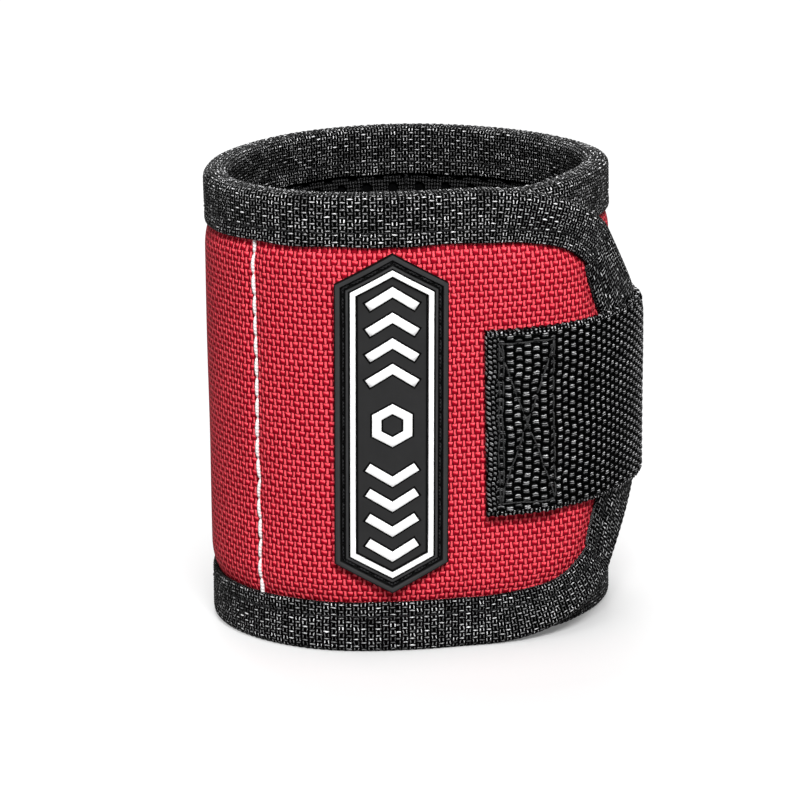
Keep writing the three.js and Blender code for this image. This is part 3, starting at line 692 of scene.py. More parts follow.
# How deep a place of the band lies inside its outline, less what the gathered tape takes
def endDepth(x, y, isOuter):
    outline = wholeOutline(isOuter, 200)
    outline = np.concatenate([outline[: len(outline) // 2], [[0, 0]]])
    shape = np.broadcast(x, y).shape
    px, py = (np.broadcast_to(v, shape).ravel() for v in (x, np.abs(y)))
    least = middle - py
    start, edge = outline[:-1], np.diff(outline, axis=0)
    near = px < 80
    qx, qy = px[near, None], py[near, None]
    t = ((qx - start[:, 0]) * edge[:, 0] + (qy - start[:, 1]) * edge[:, 1]) / (edge ** 2).sum(1)
    t = np.clip(t, 0, 1)
    footX, footY = start[:, 0] + edge[:, 0] * t, start[:, 1] + edge[:, 1] * t
    away = (np.hypot(qx - footX, qy - footY) - extraAt(footX, isOuter)).min(1)
    isInside = (px[near] > 0) & (py[near] < np.interp(px[near], outline[::-1, 0], outline[::-1, 1]))
    least[near] = np.where(isInside, np.minimum(least[near], away), -1)
    return least.reshape(shape)


def depthAt(distance, y):
    return np.minimum(endDepth(distance, y, True), endDepth(band["length"] - distance, y, False))


# Half height of the band at a distance, of an outline that is drawn in by some depth
def halfHeightAt(distance, depth):
    result = np.full(np.shape(distance), middle - depth)
    for isOuter in (True, False):
        points, inward = walkOutline(wholeOutline(isOuter, 90), 700)[:2]
        drawn = (points + inward * depth)[:350]
        drawn = drawn[np.argsort(drawn[:, 0])]
        x = distance if isOuter else band["length"] - distance
        result = np.minimum(result, np.interp(x, drawn[:, 0], drawn[:, 1], left=0))
    return np.maximum(result, 0)


# The three stretches of the dressed cloth: the span of each, its bend between two bodies and the
# parts that it covers
stretches = {
    "outer": {"span": (0, band["badge"]), "bend": (52.5, 62), "bodies": ("outer_end", "front_panel"),
              "covers": ["outer_end"]},
    "front": {"span": (band["badge"], backCut), "bend": (92, 106.5), "bodies": ("front_panel", "magnet_zone"),
              "covers": ["front_panel"]},
    "back": {"span": (backCut, band["length"]), "bend": (247, 261.5), "bodies": ("magnet_zone", "inner_end"),
             "covers": ["magnet_zone", "inner_end"]},
}


def declare(piece, follows, nodes=()):
    if nodes:
        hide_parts(*nodes)
    if follows in stretches:
        bend, bodies = stretches[follows]["bend"], stretches[follows]["bodies"]
        start, end = (Vector(onBand(distance, halfThick, middle)) for distance in bend)
        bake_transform(piece)
    else:
        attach(piece, follows)


# Makes one layer of the band in its three stretches
def dress(make, kind):
    for stretch, limits in stretches.items():
        start, end = limits["span"]
        piece = make(stretch, start, end)
        declare(piece, stretch, [f"{kind}_{body}" for body in limits["covers"]])


def declareSheet(piece, stretch, start, end, **area):
    flat = ((end - start) * mm, band["height"] * mm)


print("geometry helpers ready")

# Red outer fabric: it puffs between the tapes, is drawn in along the pocket seams and puckers
# a little beside them
fabric = {
    "step": 0.9, "rim": 2.2, "swell": 0.55, "wrinkle": 0.1,
    "pucker": 0.9, "puckerAt": 2.2, "puckerReach": 2.4, "puckers": 4.1,
}


def fromSeam(distance):
    return np.min([np.abs(distance - seam) for seam in seams], axis=0)


# From 0 where the layers are pressed flat to 1 where the band is at its fullest
def fullnessAt(distance, y):
    openShare = np.clip((depthAt(distance, y) - tape["depth"] - gap) / layers["puff"], 0, 1)
    pressed = smooth(layers["seamReach"], 0, fromSeam(distance))
    dip = layers["seamDip"] * pressed / (layers["outerRise"] - layers["edgeHalf"])
    return np.maximum(0, np.sin(openShare * math.pi / 2) ** fabric["swell"] - dip)


def fabricWrinkle(distance, height):
    slow = np.sin(distance * 0.21 + 1.7 * np.sin(height * 0.045)) * np.sin(height * 0.083 + 0.6)
    pucker = np.exp(-((fromSeam(distance) - fabric["puckerAt"]) / fabric["puckerReach"]) ** 2)
    pucker *= np.sin(height * 2 * math.pi / fabric["puckers"] + np.sin(distance * 0.9))
    return fabric["wrinkle"] * (slow + fabric["pucker"] * pucker)


def shellOffset(full):
    under = gap + layers["shell"]
    return lerp(layers["edgeHalf"] + under, layers["outerRise"] + under, full)


def liningOffset(distance, height):
    edge, rise = layers["edgeHalf"] + gap + 0.6, layers["innerRise"] + gap + layers["mesh"]
    return -lerp(edge, rise, fullnessAt(distance, height))


def makeShell(stretch, start, end):
    rim = fabric["rim"]
    distance = evenly(max(start, rim), min(end, band["length"] - rim), fabric["step"])
    height = np.linspace(-middle + rim, middle - rim, round(band["height"] / fabric["step"]) + 1)
    distance, height = np.meshgrid(distance, height, indexing="ij")
    reach = halfHeightAt(distance[:, :1], rim)
    height = np.clip(height, -reach, reach)
    full = fullnessAt(distance, height)
    offset = shellOffset(full) + fabricWrinkle(distance, height) * full
    points, lifted = (onBand(distance, offset + rise, height + middle).reshape(-1, 3) for rise in (0, 1))
    spans = np.abs(np.diff(height, axis=1))
    isOpen = (spans[:-1] + spans[1:]) > 1e-6
    faces = gridFaces(*distance.shape)[isOpen.ravel()]
    faces = facesOut(points, faces, (lifted - points)[faces[:, 0]])
    shell = newObject(f"outer_fabric_{stretch}", points, faces, "red", np.stack([distance, height], -1))
    declareSheet(shell, stretch, start, end)
    return shell


dress(makeShell, "shell")
print("outer fabric made")

# Foam pads, with a pocket for each magnet
padding = {"margin": 2.6, "step": 1.2, "columns": 71, "least": 0.02}
pocket = {"radius": 6.3, "floor": -0.8, "wall": 0.8, "rows": 3, "pitch": 24}


def makePad(stretch, start, end):
    margin = padding["margin"]
    distance = evenly(max(start, margin), min(end, band["length"] - margin), padding["step"])[:, None]
    share = np.linspace(-1, 1, padding["columns"])[None, :]
    height = share * halfHeightAt(distance, margin)
    height = np.where(np.abs(height) < padding["least"], share * padding["least"], height)
    full = fullnessAt(distance, height)
    outer = lerp(layers["edgeHalf"], layers["outerRise"], full)
    for column in range(band["pockets"]):
        for row in range(pocket["rows"]):
            across = distance - band["firstSeam"] - (column + 0.5) * band["pocketPitch"]
            up = height - (row - (pocket["rows"] - 1) / 2) * pocket["pitch"]
            isSolid = smooth(pocket["radius"], pocket["radius"] + pocket["wall"], np.hypot(across, up))
            outer = lerp(pocket["floor"], outer, isSolid)
    inner = -lerp(layers["edgeHalf"], layers["innerRise"], full)
    offset = thereAndBack(outer, inner)
    height = thereAndBack(height, height)
    uv = np.stack(np.broadcast_arrays(distance, height), -1)
    pad = closedLoft(f"pad_{stretch}", onBand(distance, offset, height + middle), "foam", uv)
    return pad


dress(makePad, "pad")
print("pads made")

# Lining of knitted air mesh: staggered rows of round holes with rolled rims. Each hole is a ring
# of squares between a circle and its cell's border, with a wall behind it.
lining = {
    "pitch": 6.2, "rowPitch": 2.9, "raise": -1.2, "hole": 2.55, "collar": 1.12, "sink": 0.55,
    "rim": 4.2, "endMargin": 0.5, "edgeMargin": 1.6, "clothShare": 0.8,
}


def makeLining(stretch, start, end):
    pitch, rise = lining["pitch"], lining["rowPitch"]
    quarter = [(0.5, -0.17), (0.5, 0.17), (0.5, 0.5), (0.17, 0.5), (-0.17, 0.5), (-0.5, 0.5)]
    border = np.array(quarter + [(-x, -y) for x, y in quarter])
    turn = np.arctan2(border[:, 1], border[:, 0])
    circle = np.stack([np.cos(turn), np.sin(turn)], 1) * lining["hole"] / 2
    rings = [border * [pitch, rise], circle * lining["collar"], circle, circle * 0.96]
    sink = np.repeat([0, 0, 0.12, lining["sink"]], len(border))
    rowCount = math.ceil(middle / rise)
    columns = range(math.floor(start / pitch) - 1, math.ceil(end / pitch) + 1)
    centres = np.array([((column + 0.5 + 0.5 * (row % 2)) * pitch, row * rise + lining["raise"])
                        for row in range(-rowCount, rowCount + 1) for column in columns])
    x = np.clip(centres[:, 0], start, end)
    isNear = np.abs(x - centres[:, 0]) < pitch / 2
    centres = centres[isNear & (depthAt(x, centres[:, 1]) > lining["rim"])]
    places = np.concatenate([centres[:, None] + line[None] for line in rings], 1)
    margin, reach = lining["endMargin"], middle - lining["edgeMargin"]
    distance = np.clip(places[..., 0], max(start, margin), min(end, band["length"] - margin))
    height = np.clip(places[..., 1], -reach, reach)
    offset = liningOffset(distance, height) + sink[None]
    points = onBand(distance, offset, height + middle).reshape(-1, 3)
    faces = repeatFaces(gridFaces(len(rings), len(border), True), len(centres), len(sink))
    inward = ((shift - points) * [1, 1, 0])[faces[:, 0]]
    faces = facesOut(points, faces, inward)
    made = newObject(f"lining_{stretch}", points, faces, "mesh", np.stack([distance, height], -1))
    area = (end - start) * band["height"] * lining["clothShare"] * mm * mm
    declareSheet(made, stretch, start, end, area=area)
    return made


dress(makeLining, "lining")
print("lining made")

# Binding tape: folded over the edge, pressed in along its topstitch, its weave in the mesh
weaveCell = {"along": 1.54, "across": 1.6, "lift": 0.26, "crestLift": 0.4}
folded = {
    "points": 74, "step": 0.385, "groove": 0.28, "grooveWidth": 0.55, "sway": 0.08, "waver": 0.09,
    "inside": 1.45, "insideFrom": 1.6, "round": 0.92,
}


# The tape's section over the edge: offset, depth, outward direction and the way round
def tapeProfile():
    outside, crest, depth = halfThick, tape["crestHalf"], tape["depth"]
    bend = np.linspace(0, math.pi / 2, 7)
    shoulder = [crest + (outside - crest) * np.sin(bend), tape["crestRise"] * (1 - np.cos(bend))]
    side = [(outside, depth - 0.35), (outside - 0.15, depth - 0.06), (outside - 0.4, depth)]
    right = np.concatenate([[(0, 0)], np.stack(shoulder, 1), side])
    line = np.concatenate([(right * [-1, 1])[::-1][:-1], right])
    lengths = lengthsOf(line)
    walked = np.linspace(0, lengths[-1], folded["points"])
    points = np.stack([np.interp(walked, lengths, line[:, k]) for k in (0, 1)], 1)
    way = unit(np.gradient(points, axis=0))
    return *points.T[:, None], way[None, :, 1], -way[None, :, 0], (walked - lengths[-1] / 2)[None]


# Staggered beads in cells of x and y, rounded both ways
def beads(x, y):
    along = 1 - (2 * ((x + 0.5 * (np.floor(y * 2) % 2)) % 1 - 0.5)) ** 2
    across = 1 - (2 * ((y * 2) % 1 - 0.5)) ** 2 * folded["round"]
    return np.sqrt(np.clip(along, 0, 1)) * np.sqrt(np.clip(across, 0, 1))


# The band's edge round one of its ends, or straight along the front, as points with their inward
# directions and the way walked
def endLine(isOuter, parts=None):
    outline = wholeOutline(isOuter, band["badge"] if isOuter else band["length"] - backCut)
    points, inward, walked = walkOutline(outline, parts or round(lengthsOf(outline)[-1] / folded["step"]))
    if not isOuter:
        points, inward = points * [-1, 1] + [band["length"], 0], inward * [-1, 1]
    return points, inward, walked


def frontLine(side, parts=None):
    span = backCut - band["badge"]
    walked = np.linspace(0, span, (parts or round(span / folded["step"])) + 1)
    points = np.stack([band["badge"] + walked, np.full_like(walked, side * middle)], 1)
    return points, np.tile([0.0, -side], (len(points), 1)), walked


# Cells are counted so that a float always meets a stem where two lengths of tape meet
def makeBinding(name, stretch, line, nodes, firstCell=0):
    points, inward, walked = line
    extra = extraAt(points[:, 0], stretch == "outer")[:, None]
    side, deep, outward, upward, t = tapeProfile()
    s = walked[:, None]
    cellCount = 2 * round(walked[-1] / weaveCell["along"] / 2) + (stretch == "front")
    x, y = s / walked[-1] * cellCount + firstCell, t / weaveCell["across"]
    opened = smooth(tape["crestRise"], tape["depth"], deep)
    crest = 1 + weaveCell["crestLift"] * smooth(2.2, 1.2, np.abs(side))
    fade = smooth(0, 0.5, np.abs(t[0, -1]) - np.abs(t))
    groove = np.exp(-((deep - tape["depth"] + tape["stitchInset"]) / folded["grooveWidth"]) ** 2)
    sway = folded["sway"] * np.sin(s * 0.31 + 2 * np.sin(s * 0.047)) * opened
    lift = (beads(x, y) - 0.55) * weaveCell["lift"] * crest * fade - folded["groove"] * groove + sway
    waver = folded["waver"] * np.sin(s * 0.37 + np.sign(side)) * smooth(5, tape["depth"], deep)

    def placed(offset, depth, openShare):
        place = points[:, None] + inward[:, None] * (depth + extra * openShare)[..., None]
        return onBand(place[..., 0], offset, place[..., 1] + middle)

    outerSide = placed(side + outward * lift, deep + waver + upward * lift, opened)
    inside = folded["inside"]
    backSide = np.array([[inside - 0.1, inside, -inside, 0.1 - inside]])
    shallow, far = folded["insideFrom"], tape["depth"] - 0.1
    backDeep = np.array([[far, shallow, shallow, far]])
    innerSide = placed(backSide, backDeep, smooth(tape["crestRise"], tape["depth"], backDeep))
    whole = np.concatenate([outerSide, innerSide], 1)
    rows, columns = whole.shape[:2]
    uv = np.zeros((rows, columns, 2))
    uv[:, : t.size] = np.stack(np.broadcast_arrays(x * weaveCell["along"], t), -1)
    flat = whole.reshape(-1, 3)
    faces = solidOut(flat, gridFaces(rows, columns, True))
    caps = [np.arange(columns), (rows - 1) * columns + np.arange(columns)[::-1]]
    made = newObject(f"binding_{name}", flat, faces, "binding", uv, caps=caps)
    declare(made, stretch, [f"binding_{node}" for node in nodes])


makeBinding("outer", "outer", endLine(True), ["outer_end"])
makeBinding("front_top", "front", frontLine(1), ["top_front_panel"], 1)
makeBinding("front_bottom", "front", frontLine(-1), ["bottom_front_panel"])
makeBinding("back", "back", endLine(False), ["top_magnet_zone", "bottom_magnet_zone", "inner_end"])
print("binding made")

# Threads: rows of single stitches that rise out of the cloth and dip back into it
stitching = {
    "seam": {"stitch": 4.3, "gap": 0.12, "radius": 0.41, "sink": 0.42, "sway": 0.25, "steps": 9},
    "tape": {"stitch": 3.1, "gap": 0.5, "radius": 0.2, "sink": 0.32, "sway": 0.12, "steps": 7},
    "box": {"stitch": 3.7, "gap": 0.35, "radius": 0.165, "sink": 0.34, "sway": 0.26, "steps": 9},
    "badge": {"stitch": 3.0, "gap": 0.35, "radius": 0.25, "sink": 0.3, "sway": 0.08, "steps": 9},
}


# toPlace takes the way along the row, a step aside and a rise above the cloth, in millimetres
def stitchRow(name, toPlace, length, kind, follows, thread="blackThread"):
    k = stitching[kind]
    count = max(1, round(length / k["stitch"]))
    pitch = length / count
    t = np.linspace(0, 1, k["steps"])[None, :]
    along = np.arange(count)[:, None] * pitch + k["gap"] / 2 + t * (pitch - k["gap"])
    drift = rng.uniform(-1, 1, (count + 1, 1)) * k["sway"]
    aside = lerp(drift[:-1], drift[1:], t)
    arch = np.sin(math.pi * t) ** 0.5
    rise = k["radius"] * 0.7 - k["sink"] * (1 - arch)
    paths = toPlace(along, aside, rise)
    outs = toPlace(along, aside, rise + 1) - paths
    radii = k["radius"] * mm * (0.62 + 0.38 * arch) * rng.uniform(0.9, 1.08, (count, 1))
    declare(tubeSet(name, paths, outs, radii, thread), follows)


def seamRow(distance, column, isInside):
    start = tape["depth"] - 1.5

    def place(along, aside, rise):
        across, height = distance + aside, start + along
        if isInside:
            offset = liningOffset(across, height - middle) - rise
        else:
            offset = shellOffset(fullnessAt(across, height - middle)) + rise
        return onBand(across, offset, height)

    name, thread = (("outside", "whiteThread"), ("inside", "blackThread"))[isInside]
    follows = {0: "front", band["pockets"]: "back"}.get(column, "magnet_zone")
    stitchRow(f"seam_{name}_{column}", place, band["height"] - 2 * start, "seam", follows, thread)


for column, distance in enumerate(seams):
    for isInside in (False, True):
        seamRow(distance, column, isInside)


# Topstitch of the binding on both faces, a little inside its edge
def topstitch(name, stretch, line):
    points, inward = line[:2]
    depth = tape["depth"] - tape["stitchInset"] + extraAt(points[:, 0], stretch == "outer")
    stitched = points + inward * depth[:, None]
    lengths = lengthsOf(stitched)
    for face, side in ((1, "outside"), (-1, "inside")):
        def place(along, aside, rise):
            x, y, inX, inY = (np.interp(along, lengths, part) for part in (*stitched.T, *inward.T))
            return onBand(x + inX * aside, face * (halfThick - 0.2 + rise), y + inY * aside + middle)

        stitchRow(f"topstitch_{name}_{side}", place, lengths[-1], "tape", stretch)


topstitch("outer", "outer", endLine(True, 600))
topstitch("back", "back", endLine(False, 900))
topstitch("front_top", "front", frontLine(1, 199))
topstitch("front_bottom", "front", frontLine(-1, 199))
print("threads made")

# Webbing strap: ribs of beads across it, its end folded under and stitched down with a box and a
# cross, whose left side is sewn twice
ribs = {
    "along": 1.8, "across": 1.68, "lift": 0.42, "press": 0.09, "pressReach": 0.62, "curl": 1.5, "lean": 0.9,
    "stationStep": 0.43, "columns": 147, "scallop": 0.18, "scallopPitch": 1.75, "freeRange": (-9, -1, 7, 15),
}
boxStitch = {"from": 2.4, "to": 13.9, "reach": 16.6, "twin": 0.8}


def boxLine(start, end, low=-1, high=1):
    return (start, low * boxStitch["reach"]), (end, high * boxStitch["reach"])


near, far, twin = boxStitch["from"], boxStitch["to"], boxStitch["from"] + boxStitch["twin"]
boxLines = {
    "left": boxLine(near, near), "left_twin": boxLine(twin, twin), "right": boxLine(far, far),
    "top": boxLine(near, far, 1), "bottom": boxLine(near, far, -1, -1),
    "rising": boxLine(near, far), "falling": boxLine(near, far, 1, -1),
}


# How far the webbing is pressed in by the stitches beside a place
def pressedAt(distance, height):
    nearest = 99.0
    for start, end in boxLines.values():
        way = np.subtract(end, start)
        t = ((distance - start[0]) * way[0] + (height - start[1]) * way[1]) / (way @ way)
        t = np.clip(t, 0, 1)
        away = np.hypot(distance - start[0] - way[0] * t, height - start[1] - way[1] * t)
        nearest = np.minimum(nearest, away)
    return np.exp(-(nearest / ribs["pressReach"]) ** 2)


# Offset of the strap's face, which is twice as thick where it is folded under
def strapFace(distance):
    fold = 1 - smooth(webbing["fold"], webbing["fold"] + webbing["ramp"], distance)
    return webbing["thickness"] / 2 + webbing["thickness"] * fold


def makeStrap():
    half = webbing["width"] / 2
    tips = np.array([0, 0.15, 0.35])
    inner = np.arange(0.7, strapEnd - 0.5, ribs["stationStep"])
    s = np.concatenate([tips, inner, strapEnd - tips[::-1]])[:, None]
    z = np.linspace(-half, half, ribs["columns"])[None, :]
    rib = (s + 0.25 * np.sin(z * 0.33) + 0.12 * np.sin(z * 0.9 + 1)) / ribs["along"]
    up = z / ribs["across"]
    column = np.floor(rib)
    alongCell, acrossCell = rib % 1 - 0.5, (up + 0.5 * (column % 2)) % 1 - 0.5
    taper = 0.12 * np.sin(column * 2.4 + np.floor(up) * 1.9)
    bead = smooth(0.92, 0.5, np.abs(2 * alongCell + taper * acrossCell))
    bead = bead * smooth(0.86, 0.4, np.abs(2 * acrossCell))
    press = pressedAt(s, z)
    bead = ribs["lift"] * (bead * (1 - 0.75 * press) - 0.6)
    edge = smooth(0, 0.9, half - np.abs(z)) * smooth(0, 0.7, s) * smooth(0, 0.7, strapEnd - s)
    lifts, isLifted, lands, isLanded = (strapTip + away for away in ribs["freeRange"])
    free = smooth(lifts, isLifted, s) * smooth(isLanded, lands, s)
    curl = ribs["curl"] * smooth(half - 5.5, half, z) ** 1.5 + ribs["lean"] * smooth(half - 10, -half, z)
    rounded = 0.45 * (1 - np.sqrt(np.clip(edge, 0, 1)))
    outerOffset = strapFace(s) - free * curl - rounded + (bead - ribs["press"] * press) * edge
    innerOffset = -webbing["thickness"] / 2 - free * curl + rounded - 0.5 * bead * edge
    scallop = half + ribs["scallop"] * np.cos(s * 2 * math.pi / ribs["scallopPitch"])
    height = np.where(np.abs(z) > half - 0.3, np.sign(z) * scallop, z) + middle
    points = thereAndBack(onStrap(s, outerOffset, height), onStrap(s, innerOffset, height))
    uv = np.stack(np.broadcast_arrays(rib, up), -1)
    strap = closedLoft("webbing_strap", points, "webbing", thereAndBack(uv, uv), thereAndBack(press, press))
    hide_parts("strap_sewn", "strap_tongue")
    start, end = (Vector(onStrap(strapTip + away, 0, middle)) for away in (-5, 5))
    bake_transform(strap)


def sewBox(name, start, end):
    length = math.dist(start, end)
    wayX, wayY = np.subtract(end, start) / length

    def place(along, aside, rise):
        distance = start[0] + wayX * along - wayY * aside
        height = start[1] + wayY * along + wayX * aside
        return onStrap(distance, strapFace(distance) - 0.1 + rise, height + middle)

    stitchRow(f"box_{name}", place, length, "box", "outer_end", "boxThread")


makeStrap()
for name, corners in boxLines.items():
    sewBox(name, *corners)
print("strap made")

# Hook and loop tapes: a woven ground with a pile of arches on it, sewn down round its edge. The
# loops lie in all directions; the hooks stand in rows, bent over at the tip.
fastener = {
    "width": 36, "thickness": webbing["fastener"], "ground": 0.45, "step": 0.9, "columns": 61,
    "seamInset": 1.6, "pileInset": 0.7, "scatter": 0.3, "loopAngles": (108, 196), "hookMargin": 2,
}
fasteners = {
    "loop": {
        "onto": onBand, "face": 1, "foot": halfThick + gap, "body": "magnet_zone",
        "pitch": 0.95, "radius": 0.1,
        "range": sorted(distanceOf(bandTrack, angle - 360) for angle in fastener["loopAngles"]),
    },
    "hook": {
        "onto": onStrap, "face": -1, "foot": -webbing["thickness"] / 2 - gap, "body": "strap_tongue",
        "pitch": 1.5, "radius": 0.12,
        "range": [distanceOf(strapTrack, ring["outerTip"] + webbing["landing"]),
                  strapEnd - fastener["hookMargin"]],
    },
}


def makeGround(kind, onto, face, foot, body, start, end):
    half = fastener["width"] / 2
    rows, columns = evenly(start, end, fastener["step"]), np.linspace(-half, half, fastener["columns"])
    s, z = np.meshgrid(rows, columns, indexing="ij")
    edge = smooth(0, 0.8, half - np.abs(z)) * smooth(0, 0.8, s - start) * smooth(0, 0.8, end - s)
    top = foot + face * (fastener["ground"] - 0.2 * (1 - edge))
    bottom = foot + face * 0.1 * (1 - edge)
    points = thereAndBack(onto(s, top, z + middle), onto(s, bottom, z + middle))
    uv = np.stack([s, z], -1)
    made = closedLoft(f"{kind}_ground", points, "ground", thereAndBack(uv, uv))
    declare(made, body, [f"{kind}_tape"])


def makePile(kind, onto, face, foot, body, start, end, pitch, radius):
    half, inset = fastener["width"] / 2 - fastener["pileInset"], fastener["pileInset"]
    isHook = kind == "hook"
    rows, columns = np.arange(start + inset, end - 0.6, pitch), np.arange(-half, half, pitch)
    s, z = (part.reshape(-1, 1) for part in np.meshgrid(rows, columns, indexing="ij"))
    if not isHook:
        s = s + rng.uniform(-fastener["scatter"], fastener["scatter"], s.shape)
        z = z + rng.uniform(-fastener["scatter"], fastener["scatter"], z.shape)
    turn = rng.uniform(0, 0.3 if isHook else math.pi, s.shape)
    t = np.linspace(0, 1, 5)[None, :]
    ground, top = fastener["ground"] - 0.05, fastener["thickness"] - radius
    if isHook:
        reach = 0.5 * np.sin(t * 2.6)
        rise = lerp(ground, top, np.sin(t * 2.3))
    else:
        reach = 0.55 * np.cos(math.pi * t)
        rise = lerp(ground, top * rng.uniform(0.85, 1.0, s.shape), np.sin(math.pi * t))
    paths = onto(s + reach * np.cos(turn), foot + face * rise, z + reach * np.sin(turn) + middle)
    outs = np.broadcast_to(onto(s, foot + face, z + middle) - onto(s, foot, z + middle), paths.shape)
    made = tubeSet(f"{kind}_pile", paths, outs + 1e-6, radius * mm, "pile", 4)
    declare(made, body)


def sewDown(kind, onto, face, foot, body, start, end):
    inset = fastener["seamInset"]
    half = fastener["width"] / 2 - inset
    corners = [(start + inset, -half), (end - inset, -half), (end - inset, half), (start + inset, half)]
    for k, (first, last) in enumerate(zip(corners, corners[1:] + corners[:1])):
        length = math.dist(first, last)

        def place(along, aside, rise):
            s, z = (lerp(a, b, along / length) for a, b in zip(first, last))
            return onto(s, foot + face * (fastener["thickness"] + rise), z + middle)

        stitchRow(f"{kind}_stitches_{k}", place, length, "tape", body)


for kind, f in fasteners.items():
    common = (kind, f["onto"], f["face"], f["foot"], f["body"], *f["range"])
    makeGround(*common)
    makePile(*common, f["pitch"], f["radius"])
    sewDown(*common)
print("hook and loop made")

# Rubber badge: an elongated hexagon with a sewing groove, a white border and a plain motif
badge = {
    "width": 21.3, "edgeGap": 1.7, "peakRise": 6.15, "raise": 0.75, "aside": 0.35, "tilt": 0.75,
    "thickness": 1.5, "rim": 1.1, "groove": 0.95, "grooveDepth": 0.5, "innerRim": 0.55, "fieldDrop": 0.5,
    "border": 0.95, "borderHeight": 0.5, "shadowBand": 0.38,
}
badge["height"] = band["height"] - 2 * (tape["depth"] + badge["edgeGap"])
badgeTop = badge["thickness"]
grooveFloor = badgeTop - badge["grooveDepth"]
grooveEnd = badge["rim"] + badge["groove"]
fieldFrom = grooveEnd + badge["innerRim"]
fieldFloor = badgeTop - badge["fieldDrop"]


def onBadge(x, offset, y):
    turn = math.radians(badge["tilt"])
    across = x * math.cos(turn) + y * math.sin(turn)
    up = y * math.cos(turn) - x * math.sin(turn)
    distance = band["badge"] + badge["aside"] - across
    return onBand(distance, halfThick + gap + offset, middle + badge["raise"] + up)


def hexagon(inset, parts=10):
    half = badge["width"] / 2
    slope = badge["peakRise"] / half
    side = half - inset
    peak = badge["height"] / 2 - inset * math.hypot(1, slope)
    shoulder = peak - slope * side
    right = [(0, peak), (side, shoulder), (side, -shoulder)]
    corners = np.array(right + [(-x, -y) for x, y in right] + right[:1])
    t = (np.arange(parts) / parts)[:, None]
    return lerp(corners[:-1, None], corners[1:, None], t).reshape(-1, 2)


# Steps from an inset beyond the last one, which close the shape on its middle line
def closeInwards(inset, shares):
    start = hexagon(inset)
    spine = badge["height"] / 2 - badge["peakRise"]
    middleLine = np.stack([0 * start[:, 0], np.clip(start[:, 1], -spine, spine)], 1)
    return [lerp(start, middleLine, share) for share in shares]


# Steps of an inset or an outline, an offset and a level of painted shade, 0 for the darkest, from the foot
# over the top and back
def hexagonSolid(name, steps, material, node, isClosed=False):
    steps = steps + steps[:1] if isClosed else steps
    flats = np.array([hexagon(step[0]) if np.isscalar(step[0]) else step[0] for step in steps])
    offsets = np.array([step[1] for step in steps])[:, None]
    points = onBadge(flats[..., 0], offsets, flats[..., 1])
    level = np.repeat([step[2] for step in steps], flats.shape[1])
    made = closedLoft(name, points, material, flats, level, False)
    declare(made, "front_panel", [node])


def makeBadge():
    rim, shadowBandEnd = badge["rim"], fieldFrom + gap + badge["border"] + badge["shadowBand"]
    top, deep, floor = badgeTop, grooveFloor, fieldFloor
    # The levels paint shade: the side walls, the groove and a band inside the white border are near-black,
    # the rounded edges darker, and the field a little darker than the rims
    steps = [(flat, 0, 1) for flat in closeInwards(0.15, (1, 0.5))]
    steps += [(0.15, 0, 0), (0, 0.15, 0), (0, top - 0.3, 0), (0.12, top - 0.06, 0), (0.28, top, 0.9)]
    steps += [(rim - 0.15, top, 1), (rim, top - 0.08, 0.4)]
    steps += [(rim + 0.12, deep + 0.06, 0), (rim + 0.25, deep, 0)]
    steps += [(grooveEnd - 0.25, deep, 0), (grooveEnd - 0.12, deep + 0.06, 0), (grooveEnd, top - 0.08, 0.4)]
    steps += [(grooveEnd + 0.12, top, 1), (fieldFrom - 0.12, top, 1), (fieldFrom, top - 0.1, 0.3)]
    steps += [(fieldFrom + 0.1, floor, 0), (shadowBandEnd, floor, 0), (shadowBandEnd + 0.1, floor, 0.76)]
    steps += [(flat, floor, 0.76) for flat in closeInwards(shadowBandEnd + 0.1, (0.25, 0.5, 0.75, 1))]
    hexagonSolid("badge_body", steps, "badgeRim", "badge_base")


def makeBorder():
    outer, floor = fieldFrom + gap, fieldFloor - 0.05
    inner, top = outer + badge["border"], fieldFloor + gap + badge["borderHeight"]
    edge = [(0, floor), (0, top - 0.12), (0.05, top - 0.03), (0.14, top)]
    steps = [(outer + inset, offset, 1) for inset, offset in edge]
    steps += [(inner - inset, offset, 1) for inset, offset in edge[::-1]]
    hexagonSolid("badge_border_white", steps, "white", "badge_border", True)


def badgeThread():
    line = hexagon(badge["rim"] + badge["groove"] / 2, 30)
    line = np.concatenate([line, line[:1]])
    way, lengths = unit(np.gradient(line, axis=0)), lengthsOf(line)

    def place(along, aside, rise):
        x, y, wayX, wayY = (np.interp(along, lengths, part) for part in (*line.T, *way.T))
        return onBadge(x - wayY * aside, grooveFloor + rise, y + wayX * aside)

    stitchRow("badge_thread", place, lengths[-1], "badge", "front_panel")


# Raised motif in the field: a small hexagon and chevrons that point away from it
motif = {
    "line": 0.85, "rise": 0.42, "shadowBandRise": 0.1, "hexagon": 3.4, "parts": 6,
    "first": 8.6, "pitch": 5.2, "count": 4, "reach": 4.6, "depth": 3.0,
}
